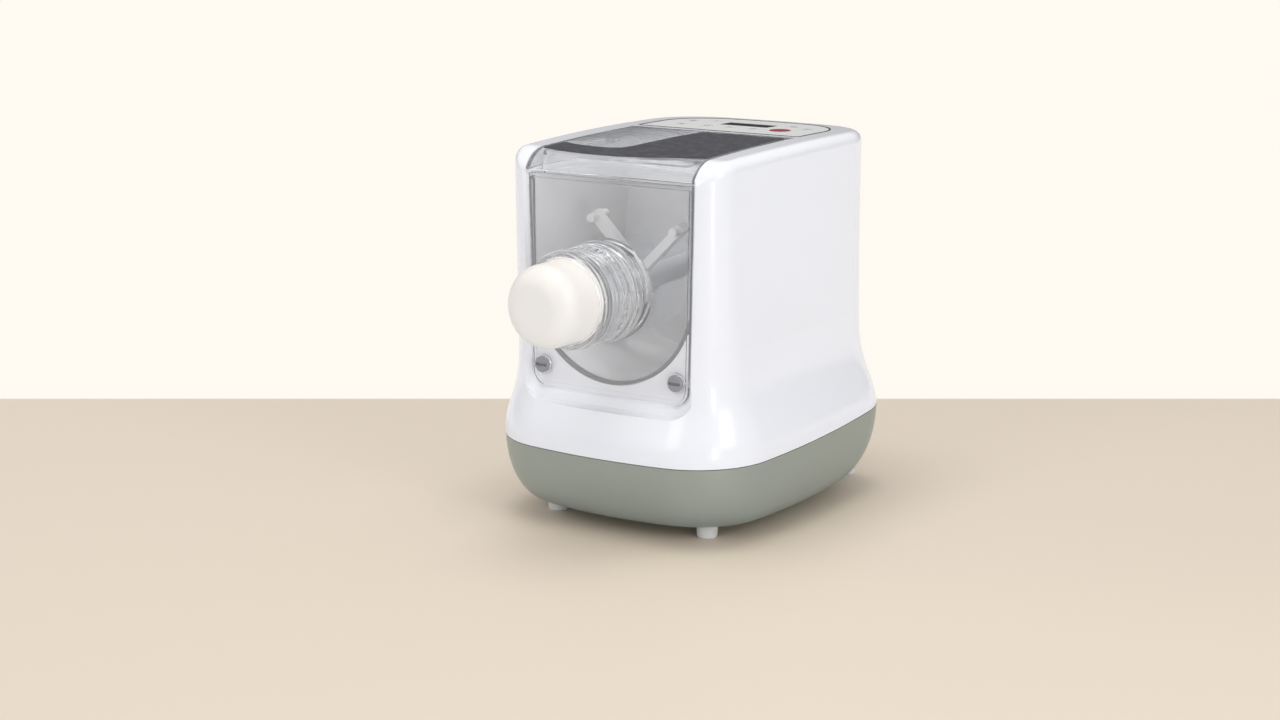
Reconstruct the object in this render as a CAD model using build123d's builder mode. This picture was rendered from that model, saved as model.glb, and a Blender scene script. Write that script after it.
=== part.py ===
from build123d import *
import os
from math import cos, hypot, pi, radians, sin, sqrt, tan

# Electric pasta maker, in millimetres: +Z up, the extrusion nozzle points along -Y, and +X is on
# the right of someone who looks at the nozzle.  The origin is the middle of the footprint of the
# whole object, nozzle included, at the height of the table.

# ------------------------------------------------------------------ driving dimensions: the body
overall_height = 300.0
top_half_width = 102.0      # half of the body's width at the top
top_depth = 266.0           # front to rear of the body at the top
base_half_width = 121.5     # half of the width at the seam, where the body is widest
base_front_flare = 20.0     # how far the seam stands in front of the face
base_rear_flare = 13.5      # and behind the rear
foot_height = 12.0          # underside of the tub above the table
die_reach = 94.0            # tip of the die in front of the face
wall = 3.0                  # walls of the housing and the tub
fit = 0.05                  # radial clearance of turning and sliding parts

crown_radius = 3000.0       # the top is a shallow arc from front to rear
crown_from_face = 170.0     # highest line of that arc, behind the face
brow_radius = 28.0          # the front end of the top rolls down over this radius
rim_radius = 9.0            # rounding of the top's long edges

seam_front_height = 64.5
seam_middle_height = 67.0
seam_rear_height = 75.0
seam_gap = 0.6              # shadow line between the housing and the tub
lip_height = 4.0            # lip of the tub that stands inside the housing
lip_gap = 0.3
lip_wall = 1.6

# ------------------------------------------------------------------ driving dimensions: chamber
axis_height = 193.5         # axis of the nozzle, the screw and the output shaft
panel_half_width = 75.5     # front panel at its top
panel_foot_half_width = 72.0
panel_bottom = 110.0
panel_top = 278.5
panel_front = 4.0           # depths behind the face of the panel's two sides
panel_back = 7.8
panel_corner = 12.0
panel_gap = 0.5
# soft border round the panel, rolled over in steps: depth of each step and its slope
opening_border = [(1.8, 30.0), (1.8, 46.0), (2.0, 68.0), (30.0, 12.0)]

bowl_radius = 75.0
bowl_wall = 2.6
bowl_front = 11.0
bowl_back = 136.0
bowl_top = 275.0
liner_gap = 0.6
liner_wall = 3.0
liner_flange = 2.5
liner_flange_reach = 81.2
liner_flange_bottom = 98.0
liner_top = 279.0
pad_depth = 8.0             # thickened front wall round the opening
pad_half_width = 90.0
pad_bottom = 84.0

lid_half_width = 77.0
lid_gap = 0.4
lid_wall = 3.0
lid_bottom = 280.6
lid_rear = 157.0            # rear edge of the lid, behind the face
knuckle_radius = 4.0
pin_radius = 1.5

# ------------------------------------------------------------------ driving dimensions: nozzle
collar_radius = 40.0
collar_front = -9.0
sleeve_radius = 33.6
sleeve_wall = 3.0
sleeve_front = -47.2
barrel_radius = 20.4
barrel_wall = 2.6
ring_radius = 36.6
ring_rib = 1.6
ring_front = -56.0
ring_back = -11.0
ring_lip = 3.7
die_radius = 31.7
die_wall = 6.0
die_flange = 4.0
die_nose_radius = 17.0
seal_step = 0.8
die_hole_radius = 1.5
die_hole_pitch = 6.4

# ------------------------------------------------------------------ driving dimensions: drive
screw_radius = 20.0
screw_root = 8.0
screw_pitch = 16.0
screw_front = -43.0
hub_radius = 9.0
arm_reach = 66.0
shaft_radius = 6.0
shaft_front = 122.0
shaft_back = 176.5
hex_flats = 10.0
socket_play = 0.1
module_out = 2.0            # gears of the output stage
teeth_out = 42
teeth_idler_small = 14
module_in = 1.5             # gears of the motor stage
teeth_idler_large = 48
teeth_pinion = 12
tooth_play = 0.15
cover_front = 139.5
cover_plate = 4.0
case_back = 177.5
case_wall = 3.0
case_rear_wall = 4.0
case_half_width = 50.0
case_bottom = 73.0
lug_x = 54.0
lug_radius = 6.5
motor_radius = 38.0
motor_wall = 2.5
motor_front = 178.0
motor_back = 238.0
motor_shaft_radius = 3.0
rotor_radius = 27.0
air_gap = 0.6
fan_radius = 34.0

# ------------------------------------------------------------------ driving dimensions: controls
plate_front = 160.6
plate_depth = 2.0
trim_width = 1.6
trim_proud = 0.25
key_radius = 4.6
start_radius = 8.7
key_gap = 0.3
key_proud = 0.3
key_foot_height = 288.0
key_stem_top = 294.5
display_module_top = 296.4
switch_height = 287.3
board_top = 283.6
board_thickness = 1.6
display_length = 46.0
display_width = 19.0

# The face is the foremost line of the body's front at the top.  Depths are counted from it.
total_length = die_reach + top_depth + base_rear_flare
face = die_reach - total_length / 2


def from_face(depth):
    """Y of a point that lies this far behind the face."""
    return face + depth


def facing(depth):
    """Upright plane at this depth: sketches are seen from the front, extrusions come forwards."""
    return Plane.XZ.offset(-from_face(depth))


def across(x):
    """Upright plane that cuts the object from front to rear: local X is Y, local Y is Z."""
    return Plane.YZ.offset(x)


def level(height):
    return Plane.XY.offset(height)


def crown_z(y, depth=0.0):
    """Height of the top surface at y, or of a surface that lies this deep under it."""
    radius = crown_radius - depth
    return overall_height - crown_radius + sqrt(radius**2 - (y - from_face(crown_from_face)) ** 2)


def seam_z(y):
    """Height of the seam: a parabola through its front, middle and rear heights."""
    a, b, c = from_face(-base_front_flare), from_face(110), from_face(top_depth + base_rear_flare)
    return (
        seam_front_height * (y - b) * (y - c) / ((a - b) * (a - c))
        + seam_middle_height * (y - a) * (y - c) / ((b - a) * (b - c))
        + seam_rear_height * (y - a) * (y - b) / ((c - a) * (c - b))
    )


# ------------------------------------------------------------------ form of the body
# Each outline of the body: share of the height from the seam, flare at the sides and the rear,
# flare at the front (1 is the full flare), bow of front, sides and rear, front and rear corner.
seam_level = (seam_front_height + seam_rear_height) / 2
over_seam = overall_height - seam_level
skirt_stations = [
    (0.00, 1.00, 1.00, (15.0, 8.0, 13.0), 66.0, 72.0),
    (0.08, 0.82, 0.72, (12.0, 7.5, 12.0), 59.0, 70.0),
    (0.16, 0.48, 0.32, (6.5, 6.8, 10.8), 49.0, 67.0),
    (0.25, 0.22, 0.08, (3.0, 5.8, 9.8), 41.0, 64.0),
    (0.36, 0.10, 0.00, (1.8, 5.0, 9.3), 35.0, 61.0),
]
shaft_stations = [
    (0.36, 0.10, 0.00, (1.8, 5.0, 9.3), 35.0, 61.0),
    (0.66, 0.02, 0.00, (1.5, 4.4, 9.0), 30.0, 58.0),
    (1.03, 0.00, 0.00, (1.5, 4.0, 9.0), 28.0, 56.0),
]
tub_side_turn_in = 19.5     # how far the tub's bottom edge lies inside the seam
tub_front_turn_in = 27.0
tub_rear_turn_in = 50.0
lower_stations = [
    (1.00, 1.00, (16.0, 10.0, 14.0), 56.0, 60.0),
    (0.94, 0.66, (16.0, 10.0, 14.0), 60.0, 64.0),
    (0.80, 0.40, (16.0, 9.0, 14.0), 63.0, 68.0),
    (0.50, 0.13, (15.5, 8.5, 13.5), 65.0, 71.0),
    (0.00, 0.00, (15.0, 8.0, 13.0), 66.0, 72.0),
]


def station(height, half_width, front, back, bows, front_corner, rear_corner):
    """Draws one outline of the body: four bowed sides with round corners."""
    front_bow, side_bow, rear_bow = bows
    side = half_width - side_bow
    fore, aft = front + front_bow, back - rear_bow
    middle = (front + back) / 2
    with BuildSketch(level(height)) as outline:
        with BuildLine():
            ThreePointArc((-side, fore), (0, front), (side, fore))
            ThreePointArc((side, fore), (half_width, middle), (side, aft))
            ThreePointArc((side, aft), (0, back), (-side, aft))
            ThreePointArc((-side, aft), (-half_width, middle), (-side, fore))
        make_face()
        fillet(outline.vertices().filter_by(lambda v: v.Y < middle), radius=front_corner)
        fillet(outline.vertices().filter_by(lambda v: abs(v.Y - aft) < 0.01), radius=rear_corner)
    return outline.sketch


def side_profile(inset):
    """Draws the body's outline seen from the side: crowned top, front end rolled down."""
    front_line = from_face(-0.6) + inset
    beyond = from_face(top_depth + 60)
    low = -20.0
    with BuildSketch(across(-base_half_width - 1)) as profile:
        with BuildLine():
            Polyline(
                (front_line, crown_z(front_line, inset)),
                (front_line, overall_height - 2.4 * brow_radius),
                (face - 2 * base_front_flare, overall_height / 2),
                (face - 2 * base_front_flare, low),
                (beyond, low),
                (beyond, crown_z(beyond, inset)),
            )
            ThreePointArc(
                (front_line, crown_z(front_line, inset)),
                (from_face(crown_from_face), overall_height - inset),
                (beyond, crown_z(beyond, inset)),
            )
        make_face()
        brow = profile.vertices().sort_by(lambda v: hypot(v.X - front_line, v.Y - overall_height))
        fillet(brow[0], radius=brow_radius - inset)
    return profile.sketch


def body_form(inset):
    """The body as one solid, with its whole surface moved inwards by inset."""
    below = [
        station(
            max(seam_level + (foot_height - seam_level) * share, foot_height + inset * share),
            base_half_width - tub_side_turn_in * turn_in - inset,
            from_face(tub_front_turn_in * turn_in - base_front_flare + inset),
            from_face(top_depth + base_rear_flare - tub_rear_turn_in * turn_in - inset),
            bows,
            front_corner - inset,
            rear_corner - inset,
        )
        for share, turn_in, bows, front_corner, rear_corner in lower_stations
    ]
    skirt, shaft = [
        [
            station(
                seam_level + over_seam * share,
                top_half_width + (base_half_width - top_half_width) * side_flare - inset,
                from_face(inset - base_front_flare * front_flare),
                from_face(top_depth + base_rear_flare * side_flare - inset),
                bows,
                front_corner - inset,
                rear_corner - inset,
            )
            for share, side_flare, front_flare, bows, front_corner, rear_corner in stations
        ]
        for stations in (skirt_stations, shaft_stations)
    ]
    with BuildPart() as form:
        loft(below)
        loft(skirt)
        loft(shaft)
        extrude(side_profile(inset), amount=2 * base_half_width + 2, mode=Mode.INTERSECT)
        top_faces = form.faces().filter_by(lambda f: f.normal_at().Z > 0.5 and f.center().Z > 0)
        loops = [edge for f in top_faces for edge in f.edges()]
        rim = [e for e in loops if sum(e.is_same(other) for other in loops) == 1]
        fillet(rim, radius=rim_radius - inset)
    return form.part


outer_form = body_form(0)
inner_form = body_form(wall)


def below_seam(drop):
    """Everything lower than the seam, or than a surface this far under it."""
    start, end = from_face(-60), from_face(top_depth + 60)
    middle = (start + end) / 2
    with BuildPart() as lower:
        with BuildSketch(across(-150)):
            with BuildLine():
                ThreePointArc(
                    (start, seam_z(start) - drop), (middle, seam_z(middle) - drop), (end, seam_z(end) - drop)
                )
                Polyline((end, seam_z(end) - drop), (end, -10), (start, -10), (start, seam_z(start) - drop))
            make_face()
        extrude(amount=300)
    return lower.part


def crown_slab(outline, upper, lower):
    """The part of the body between two depths under the crown, within an outline."""
    start, end = from_face(90), from_face(top_depth + 20)
    middle = (start + end) / 2
    with BuildPart() as slab:
        with BuildSketch(across(-120)):
            with BuildLine():
                ThreePointArc(*[(y, crown_z(y, upper)) for y in (start, middle, end)])
                Line((end, crown_z(end, upper)), (end, crown_z(end, lower)))
                ThreePointArc(*[(y, crown_z(y, lower)) for y in (end, middle, start)])
                Line((start, crown_z(start, lower)), (start, crown_z(start, upper)))
            make_face()
        extrude(amount=240)
        extrude(outline, amount=overall_height + 10, mode=Mode.INTERSECT)
    return slab.part


def rod(radius, front, back, x=0.0, height=axis_height):
    """Round bar along Y between two depths behind the face."""
    with BuildPart() as bar:
        with BuildSketch(facing(back)):
            with Locations((x, height)):
                Circle(radius)
        extrude(amount=back - front)
    return bar.part


def sleeve(outer, inner, front, back, x=0.0, height=axis_height):
    """Round tube along Y between two depths behind the face."""
    with BuildPart() as tube:
        with BuildSketch(facing(back)):
            with Locations((x, height)):
                Circle(outer)
                Circle(inner, mode=Mode.SUBTRACT)
        extrude(amount=back - front)
    return tube.part


def block(x_span, depth_span, z_span):
    """Box between two values of x, two depths behind the face and two heights."""
    with BuildPart() as brick:
        with BuildSketch(level(z_span[0])):
            with Locations(((x_span[0] + x_span[1]) / 2, from_face(sum(depth_span) / 2))):
                Rectangle(x_span[1] - x_span[0], depth_span[1] - depth_span[0])
        extrude(amount=z_span[1] - z_span[0])
    return brick.part


def post(radius, bottom, top, x, depth, top_radius=None):
    """Upright round bar, tapered if its top has a radius of its own."""
    with BuildPart() as bar:
        with BuildSketch(level(bottom)):
            with Locations((x, from_face(depth))):
                Circle(radius)
        if top_radius is None:
            extrude(amount=top - bottom)
        else:
            with BuildSketch(level(top)):
                with Locations((x, from_face(depth))):
                    Circle(top_radius)
            loft()
    return bar.part


def upright_u(plane, radius, top, outer=True):
    """Sketch of the chamber's section: a half round with straight sides up to this height."""
    with BuildSketch(plane) as section:
        with Locations((0, axis_height)):
            Circle(radius)
        with Locations((0, (axis_height + top) / 2)):
            Rectangle(2 * radius, top - axis_height)
        with Locations((0, top + radius)):
            Rectangle(4 * radius, 2 * radius, mode=Mode.SUBTRACT)
    return section.sketch


def save(solid, name):
    solid.label = name
    export_step(solid, f"parts/{name}.step")


os.makedirs("parts", exist_ok=True)

# ------------------------------------------------------------------ upper housing
side_screw_x = 80.0
side_screw_depths = (62.0, 202.0)
pad_screw_points = [(x, 103.0) for x in (-70.0, -28.0, 28.0, 70.0)]
boss_radius = 6.0
tap_radius = 2.0
board_screw_points = [(-60.0, 180.0), (60.0, 180.0), (-48.0, 236.0), (48.0, 236.0)]
well_wall = 3.0
pin_height = crown_z(from_face(lid_rear - knuckle_radius)) - knuckle_radius
pin_depth = lid_rear - knuckle_radius


def control_outline(grow):
    """Outline of the control plate, or one that is larger by grow on every side."""
    front, rear, half, bow = from_face(plate_front), from_face(247.0), 75.5, 10.0
    with BuildSketch(level(0)) as outline:
        with BuildLine():
            Polyline((-half, rear - bow), (-half, front), (half, front), (half, rear - bow))
            ThreePointArc((half, rear - bow), (0, rear), (-half, rear - bow))
        make_face()
        fillet(outline.vertices().filter_by(lambda v: v.Y < front + 1), radius=3.0)
        fillet(outline.vertices().filter_by(lambda v: abs(v.Y - rear + bow) < 0.1), radius=45.0)
        if grow:
            offset(amount=grow, kind=Kind.ARC)
    return outline.sketch


def round_outline(radius, x, depth):
    with BuildSketch(level(0)) as outline:
        with Locations((x, from_face(depth))):
            Circle(radius)
    return outline.sketch


def panel_outline(grow, plane, top):
    """Sketch of the front panel: narrower at its foot, with round lower corners."""
    lean = (panel_half_width - panel_foot_half_width) / (panel_top - panel_bottom)
    top_half = panel_half_width + lean * (top - panel_top) + grow
    with BuildSketch(plane) as outline:
        with BuildLine():
            Polyline(
                (-panel_foot_half_width - grow, panel_bottom - grow),
                (panel_foot_half_width + grow, panel_bottom - grow),
                (top_half, top),
                (-top_half, top),
                (-panel_foot_half_width - grow, panel_bottom - grow),
            )
        make_face()
        fillet(outline.vertices().filter_by(lambda v: v.Z < axis_height), radius=panel_corner + grow)
    return outline.sketch


start_key = ("start_key", 42.0, 190.0)
function_keys = [
    ("key_program", -50.0, 186.0),
    ("key_shape", -25.0, 186.0),
    ("key_water", -3.0, 186.0),
    ("key_weight", 19.0, 186.0),
    ("key_mixing", -55.0, 212.0),
    ("key_extrude", -38.0, 222.0),
    ("key_menu", 38.0, 219.0),
    ("key_power", 57.0, 209.0),
]
display_x, display_depth = 0.0, 211.0

with BuildPart() as front_pad:
    add(block((-pad_half_width, pad_half_width), (-40, pad_depth), (pad_bottom, 295)))
    add(outer_form, mode=Mode.INTERSECT)

with BuildPart() as lid_well:
    add(
        block(
            (-lid_half_width - lid_gap - well_wall, lid_half_width + lid_gap + well_wall),
            (pad_depth - 2, lid_rear + lid_gap + well_wall),
            (liner_top, overall_height),
        )
    )
    for side in (-1, 1):
        inner_x, outer_x = sorted((side * (lid_half_width + lid_gap), side * (lid_half_width + 9)))
        add(block((inner_x, outer_x), (pin_depth - 6, pin_depth + 7.4), (286, overall_height)))
    add(outer_form, mode=Mode.INTERSECT)

with BuildPart() as control_seat:
    add(crown_slab(control_outline(trim_width + 3.5), 0.5, 5.5))
    for x, depth in board_screw_points:
        add(post(3.4, board_top, 299, x, depth))
    add(outer_form, mode=Mode.INTERSECT)

with BuildPart() as lower_bosses:
    for side in (-1, 1):
        for depth in side_screw_depths:
            x = side * side_screw_x
            seat = seam_z(from_face(depth)) + 2
            add(post(boss_radius, seat, 100, x, depth))
            near, far = sorted((x + side * (boss_radius - 1), side * 118.0))
            add(block((near, far), (depth - 1.5, depth + 1.5), (seat + 6, 100)))
    add(outer_form, mode=Mode.INTERSECT)

power_board_x = -90.0       # left face of the power board, on posts of the housing's side wall
power_board_points = [(155.0, 166.0), (155.0, 234.0), (205.0, 166.0), (205.0, 234.0)]
with BuildPart() as side_posts:
    with BuildSketch(across(power_board_x - 12)):
        for depth, height in power_board_points:
            with Locations((from_face(depth), height)):
                Circle(4.0)
    extrude(amount=12)
    add(outer_form, mode=Mode.INTERSECT)

inlet_x, inlet_height = 52.0, 108.0
inlet_width, inlet_tall = 30.0, 24.0
inlet_back = top_depth + 9.5
with BuildPart() as inlet_collar:
    add(
        block(
            (inlet_x - inlet_width / 2 - 4, inlet_x + inlet_width / 2 + 4),
            (top_depth - 10, inlet_back),
            (inlet_height - inlet_tall / 2 - 4, inlet_height + inlet_tall / 2 + 4),
        )
    )
    fillet(inlet_collar.edges().filter_by(Axis.Y), radius=5)

vent_count = 9
with BuildPart() as rear_vents:
    with BuildSketch(facing(top_depth + 20)):
        with GridLocations(0, 7.0, 1, vent_count):
            with Locations((-22, 150)):
                SlotOverall(62, 3.2)
    extrude(amount=60)

with BuildPart() as upper_housing:
    add(outer_form)
    add(inner_form, mode=Mode.SUBTRACT)
    add(front_pad.part)
    add(lid_well.part)
    add(control_seat.part)
    add(lower_bosses.part)
    add(side_posts.part)
    add(inlet_collar.part)
    add(below_seam(-seam_gap), mode=Mode.SUBTRACT)
    # opening for the front panel, with its soft border
    extrude(panel_outline(panel_gap, facing(pad_depth + 1), 310), amount=60, mode=Mode.SUBTRACT)
    border_depth, border_grow = panel_back - 2, panel_gap
    for step, slope in opening_border:
        extrude(
            panel_outline(border_grow, facing(border_depth), 310),
            amount=step,
            taper=-slope,
            mode=Mode.SUBTRACT,
        )
        border_depth -= step
        border_grow += step * tan(radians(slope))
    # opening for the lid
    add(
        block(
            (-lid_half_width - lid_gap, lid_half_width + lid_gap),
            (-40, lid_rear + lid_gap),
            (liner_top - 2, overall_height + 5),
        ),
        mode=Mode.SUBTRACT,
    )
    # recess for the control plate, openings for the keys and the display
    add(crown_slab(control_outline(trim_width), -3, plate_depth), mode=Mode.SUBTRACT)
    for name, x, depth in function_keys:
        add(post(key_radius + key_gap, 284, 310, x, depth), mode=Mode.SUBTRACT)
    add(post(start_radius + key_gap, 284, 310, *start_key[1:]), mode=Mode.SUBTRACT)
    add(
        block(
            (display_x - display_length / 2 + 1, display_x + display_length / 2 - 1),
            (display_depth - display_width / 2 + 1, display_depth + display_width / 2 - 1),
            (284, 310),
        ),
        mode=Mode.SUBTRACT,
    )
    # holes for screws and hinge pins
    for x, height in pad_screw_points:
        add(rod(1.5, 3, 9, x, height), mode=Mode.SUBTRACT)
    for x, depth in board_screw_points:
        add(post(1.3, board_top - 1, 291, x, depth), mode=Mode.SUBTRACT)
    for side in (-1, 1):
        for depth in side_screw_depths:
            add(post(tap_radius, 60, 94, side * side_screw_x, depth), mode=Mode.SUBTRACT)
    with BuildSketch(across(-lid_half_width - 7)):
        with Locations((from_face(pin_depth), pin_height)):
            Circle(pin_radius)
    extrude(amount=2 * lid_half_width + 14, mode=Mode.SUBTRACT)
    with BuildSketch(across(power_board_x - 7)):
        for depth, height in power_board_points:
            with Locations((from_face(depth), height)):
                Circle(1.3)
    extrude(amount=8, mode=Mode.SUBTRACT)
    # opening for the mains inlet, and the vents
    add(
        block(
            (inlet_x - inlet_width / 2, inlet_x + inlet_width / 2),
            (top_depth - 14, inlet_back + 2),
            (inlet_height - inlet_tall / 2, inlet_height + inlet_tall / 2),
        ),
        mode=Mode.SUBTRACT,
    )
    add(rear_vents.part, mode=Mode.SUBTRACT)
save(upper_housing.part, "upper_housing")

# ------------------------------------------------------------------ chamber liner, bowl, seals
liner_inner = bowl_radius + liner_gap
liner_outer = liner_inner + liner_wall
liner_back = bowl_back + 0.5
lug_points = [(side * lug_x, height) for side in (-1, 1) for height in (140.0, 200.0)]

with BuildPart() as chamber_liner:
    extrude(upright_u(facing(liner_back + liner_wall), liner_outer, liner_top), amount=liner_back + 3 - 8)
    extrude(
        upright_u(facing(liner_back), liner_inner, liner_top + 5),
        amount=liner_back,
        mode=Mode.SUBTRACT,
    )
    # front flange that the housing's thick front wall is screwed to
    with BuildSketch(facing(pad_depth + liner_flange)):
        with BuildLine():
            Polyline(
                (-liner_flange_reach, liner_flange_bottom),
                (liner_flange_reach, liner_flange_bottom),
                (liner_flange_reach, liner_top - 8),
                (-liner_flange_reach, liner_top - 8),
                (-liner_flange_reach, liner_flange_bottom),
            )
        make_face()
    extrude(amount=liner_flange)
    extrude(
        upright_u(facing(pad_depth + liner_flange), liner_inner, liner_top + 5),
        amount=liner_flange + 1,
        mode=Mode.SUBTRACT,
    )
    # shelf under the rear part of the lid
    add(
        block(
            (-liner_outer, liner_outer),
            (liner_back, lid_rear + lid_gap + well_wall),
            (liner_top - 3, liner_top),
        )
    )
    add(rod(11.0, liner_back - 2, liner_back + 5), mode=Mode.SUBTRACT)
    for x, height in lug_points:
        add(rod(2.1, liner_back - 1, liner_back + 5, x, height), mode=Mode.SUBTRACT)
        add(rod(4.2, liner_back - 1, liner_back + 1.6, x, height), mode=Mode.SUBTRACT)
    for x, height in pad_screw_points:
        add(rod(1.7, 7, 12, x, height), mode=Mode.SUBTRACT)
save(chamber_liner.part, "chamber_liner")

with BuildPart() as mixing_bowl:
    extrude(upright_u(facing(bowl_back), bowl_radius, bowl_top), amount=bowl_back - bowl_front)
    extrude(
        upright_u(facing(bowl_back - bowl_wall), bowl_radius - bowl_wall, bowl_top + 5),
        amount=bowl_back,
        mode=Mode.SUBTRACT,
    )
    add(rod(10.0, bowl_back - 6, bowl_back + 1), mode=Mode.SUBTRACT)
    # volume marks, moulded as short ribs on the inside of the bowl
    for height in (150.0, 175.0, 200.0):
        half = sqrt((bowl_radius - bowl_wall) ** 2 - min(height - axis_height, 0) ** 2)
        add(block((half - 1.0, half + 1.0), (24, 36), (height - 0.6, height + 0.6)))
save(mixing_bowl.part, "mixing_bowl")

with BuildPart() as bowl_seal:
    extrude(upright_u(facing(bowl_front), bowl_radius, bowl_top), amount=bowl_front - pad_depth - 0.1)
    extrude(
        upright_u(facing(bowl_front + 1), bowl_radius - bowl_wall, bowl_top + 5),
        amount=bowl_front,
        mode=Mode.SUBTRACT,
    )
save(bowl_seal.part, "bowl_seal")

with BuildPart() as shaft_seal:
    add(rod(10.0, bowl_back - bowl_wall, bowl_back + 0.3))
    add(rod(12.5, bowl_back - bowl_wall - 1.6, bowl_back - bowl_wall))
    add(rod(shaft_radius + fit, bowl_back - 8, bowl_back + 4), mode=Mode.SUBTRACT)
save(shaft_seal.part, "shaft_seal")

# ------------------------------------------------------------------ front panel and its posts
post_x, post_height = 62.0, 127.5
post_head, post_neck = 6.6, 4.5

with BuildPart() as front_panel:
    extrude(panel_outline(0, facing(panel_back), panel_top), amount=panel_back - panel_front)
    add(rod(collar_radius, collar_front, panel_back))
    fillet(front_panel.edges().filter_by(GeomType.CIRCLE).sort_by(Axis.Y)[0], radius=2.5)
    add(rod(sleeve_radius, sleeve_front, panel_back))
    add(rod(barrel_radius + barrel_wall, sleeve_front, panel_back + 6))
    # groove between the thread sleeve and the barrel, open at the front
    with BuildSketch(facing(panel_front - 4)):
        with Locations((0, axis_height)):
            Circle(sleeve_radius - sleeve_wall)
            Circle(barrel_radius + barrel_wall, mode=Mode.SUBTRACT)
    extrude(amount=80, mode=Mode.SUBTRACT)
    add(rod(barrel_radius, sleeve_front - 2, panel_back + 10), mode=Mode.SUBTRACT)
    # raised stiffening rim just inside the panel's edge
    extrude(panel_outline(-2.0, facing(panel_front + 0.5), panel_top - 3), amount=1.3)
    extrude(panel_outline(-4.0, facing(panel_front), panel_top - 5), amount=3, mode=Mode.SUBTRACT)
    for x in (-post_x, post_x):
        add(rod(post_head + 1.6, panel_front - 1.6, panel_front + 1, x, post_height))
    add(rod(collar_radius, collar_front + 4, panel_front + 1))
    add(rod(sleeve_radius - sleeve_wall, sleeve_front - 1, panel_front - 4), mode=Mode.SUBTRACT)
    add(sleeve(barrel_radius + barrel_wall, barrel_radius, sleeve_front, panel_back + 6))
    add(rod(barrel_radius, sleeve_front - 2, panel_back + 10), mode=Mode.SUBTRACT)
    for x in (-post_x, post_x):
        add(rod(post_neck + fit, panel_front - 3, panel_back + 1, x, post_height), mode=Mode.SUBTRACT)
        add(rod(post_head + fit, panel_front - 3, panel_front, x, post_height), mode=Mode.SUBTRACT)
save(front_panel.part, "front_panel")

for x, name in ((-post_x, "panel_post_left"), (post_x, "panel_post_right")):
    with BuildPart() as panel_post:
        add(rod(post_head, panel_front - 3.4, panel_front, x, post_height))
        fillet(panel_post.edges().sort_by(Axis.Y)[0], radius=1.0)
        add(rod(post_neck, panel_front - 0.5, panel_back, x, post_height))
        with BuildSketch(facing(panel_front - 1.8)):
            with Locations((x, post_height)):
                SlotOverall(10.4, 2.4)
        extrude(amount=5, mode=Mode.SUBTRACT)
    save(panel_post.part, name)

# ------------------------------------------------------------------ die and retaining ring
with BuildPart() as retaining_ring:
    add(sleeve(ring_radius, sleeve_radius + fit, ring_front + ring_lip, ring_back))
    add(sleeve(ring_radius, die_radius + 0.4, ring_front, ring_front + ring_lip))
    chamfer(retaining_ring.edges().filter_by(GeomType.CIRCLE).sort_by(Axis.Y)[:1], length=1.5)
    for depth in (-49.0, -33.0, -19.0):
        add(sleeve(ring_radius + ring_rib, ring_radius - 1, depth - 1.6, depth + 1.6))
    # grip ridges along the ring
    with BuildSketch(facing(-15)):
        with Locations((0, axis_height)):
            with PolarLocations(ring_radius + 0.3, 12):
                Circle(1.5)
    extrude(amount=36)
    add(rod(sleeve_radius + fit, ring_front + ring_lip, ring_back + 2), mode=Mode.SUBTRACT)
save(retaining_ring.part, "retaining_ring")

flange_back = sleeve_front - seal_step
with BuildPart() as die_hollow:
    add(rod(die_radius - die_wall, -die_reach + die_wall + 2, flange_back + 1))
    nose = die_hollow.edges().filter_by(GeomType.CIRCLE).sort_by(Axis.Y)[0]
    fillet(nose, radius=die_nose_radius - die_wall)

with BuildPart() as pasta_die:
    add(rod(die_radius, -die_reach, flange_back))
    fillet(pasta_die.edges().filter_by(GeomType.CIRCLE).sort_by(Axis.Y)[0], radius=die_nose_radius)
    add(rod(sleeve_radius - 0.3, flange_back - die_flange, flange_back))
    add(die_hollow.part, mode=Mode.SUBTRACT)
    # holes that the pasta leaves through, in the underside of the cup
    for row in range(4):
        for column in range(5):
            add(
                post(
                    die_hole_radius,
                    axis_height - die_radius - 2,
                    axis_height - 8,
                    (column - 2) * die_hole_pitch,
                    -78.0 + row * die_hole_pitch,
                ),
                mode=Mode.SUBTRACT,
            )
save(pasta_die.part, "pasta_die")

save(sleeve(sleeve_radius - 0.2, sleeve_radius - sleeve_wall, flange_back, sleeve_front), "die_seal")

# ------------------------------------------------------------------ screw and mixing arms
arm_depths = (34.0, 57.0, 80.0, 103.0)
screw_back = 12.0
with BuildPart() as mixing_screw:
    add(rod(hub_radius, screw_back - 2, bowl_back - bowl_wall - 2.2))
    add(rod(screw_root, screw_front, screw_back))
    for index, depth in enumerate(arm_depths):
        turn = radians(90 * index + 45)
        with BuildSketch(facing(depth + 4)):
            with BuildLine():
                along = (cos(turn), sin(turn))
                aside = (-3.5 * sin(turn), 3.5 * cos(turn))
                corners = []
                for reach, sign in ((2, 1), (arm_reach, 1), (arm_reach, -1), (2, -1), (2, 1)):
                    corners.append(
                        (
                            reach * along[0] + sign * aside[0],
                            axis_height + reach * along[1] + sign * aside[1],
                        )
                    )
                Polyline(*corners)
            make_face()
        extrude(amount=8)
        # each arm ends in a short bar along the chamber's wall
        tip = (arm_reach - 3.5) * along[0], axis_height + (arm_reach - 3.5) * along[1]
        with BuildSketch(facing(depth + 10)):
            with Locations(tip):
                Circle(3.4)
        extrude(amount=20)
    with BuildSketch(facing(bowl_back)):
        with Locations((0, axis_height)):
            RegularPolygon((hex_flats + socket_play) / 2, 6, major_radius=False)
    extrude(amount=bowl_back - shaft_front + 1, mode=Mode.SUBTRACT)

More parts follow.
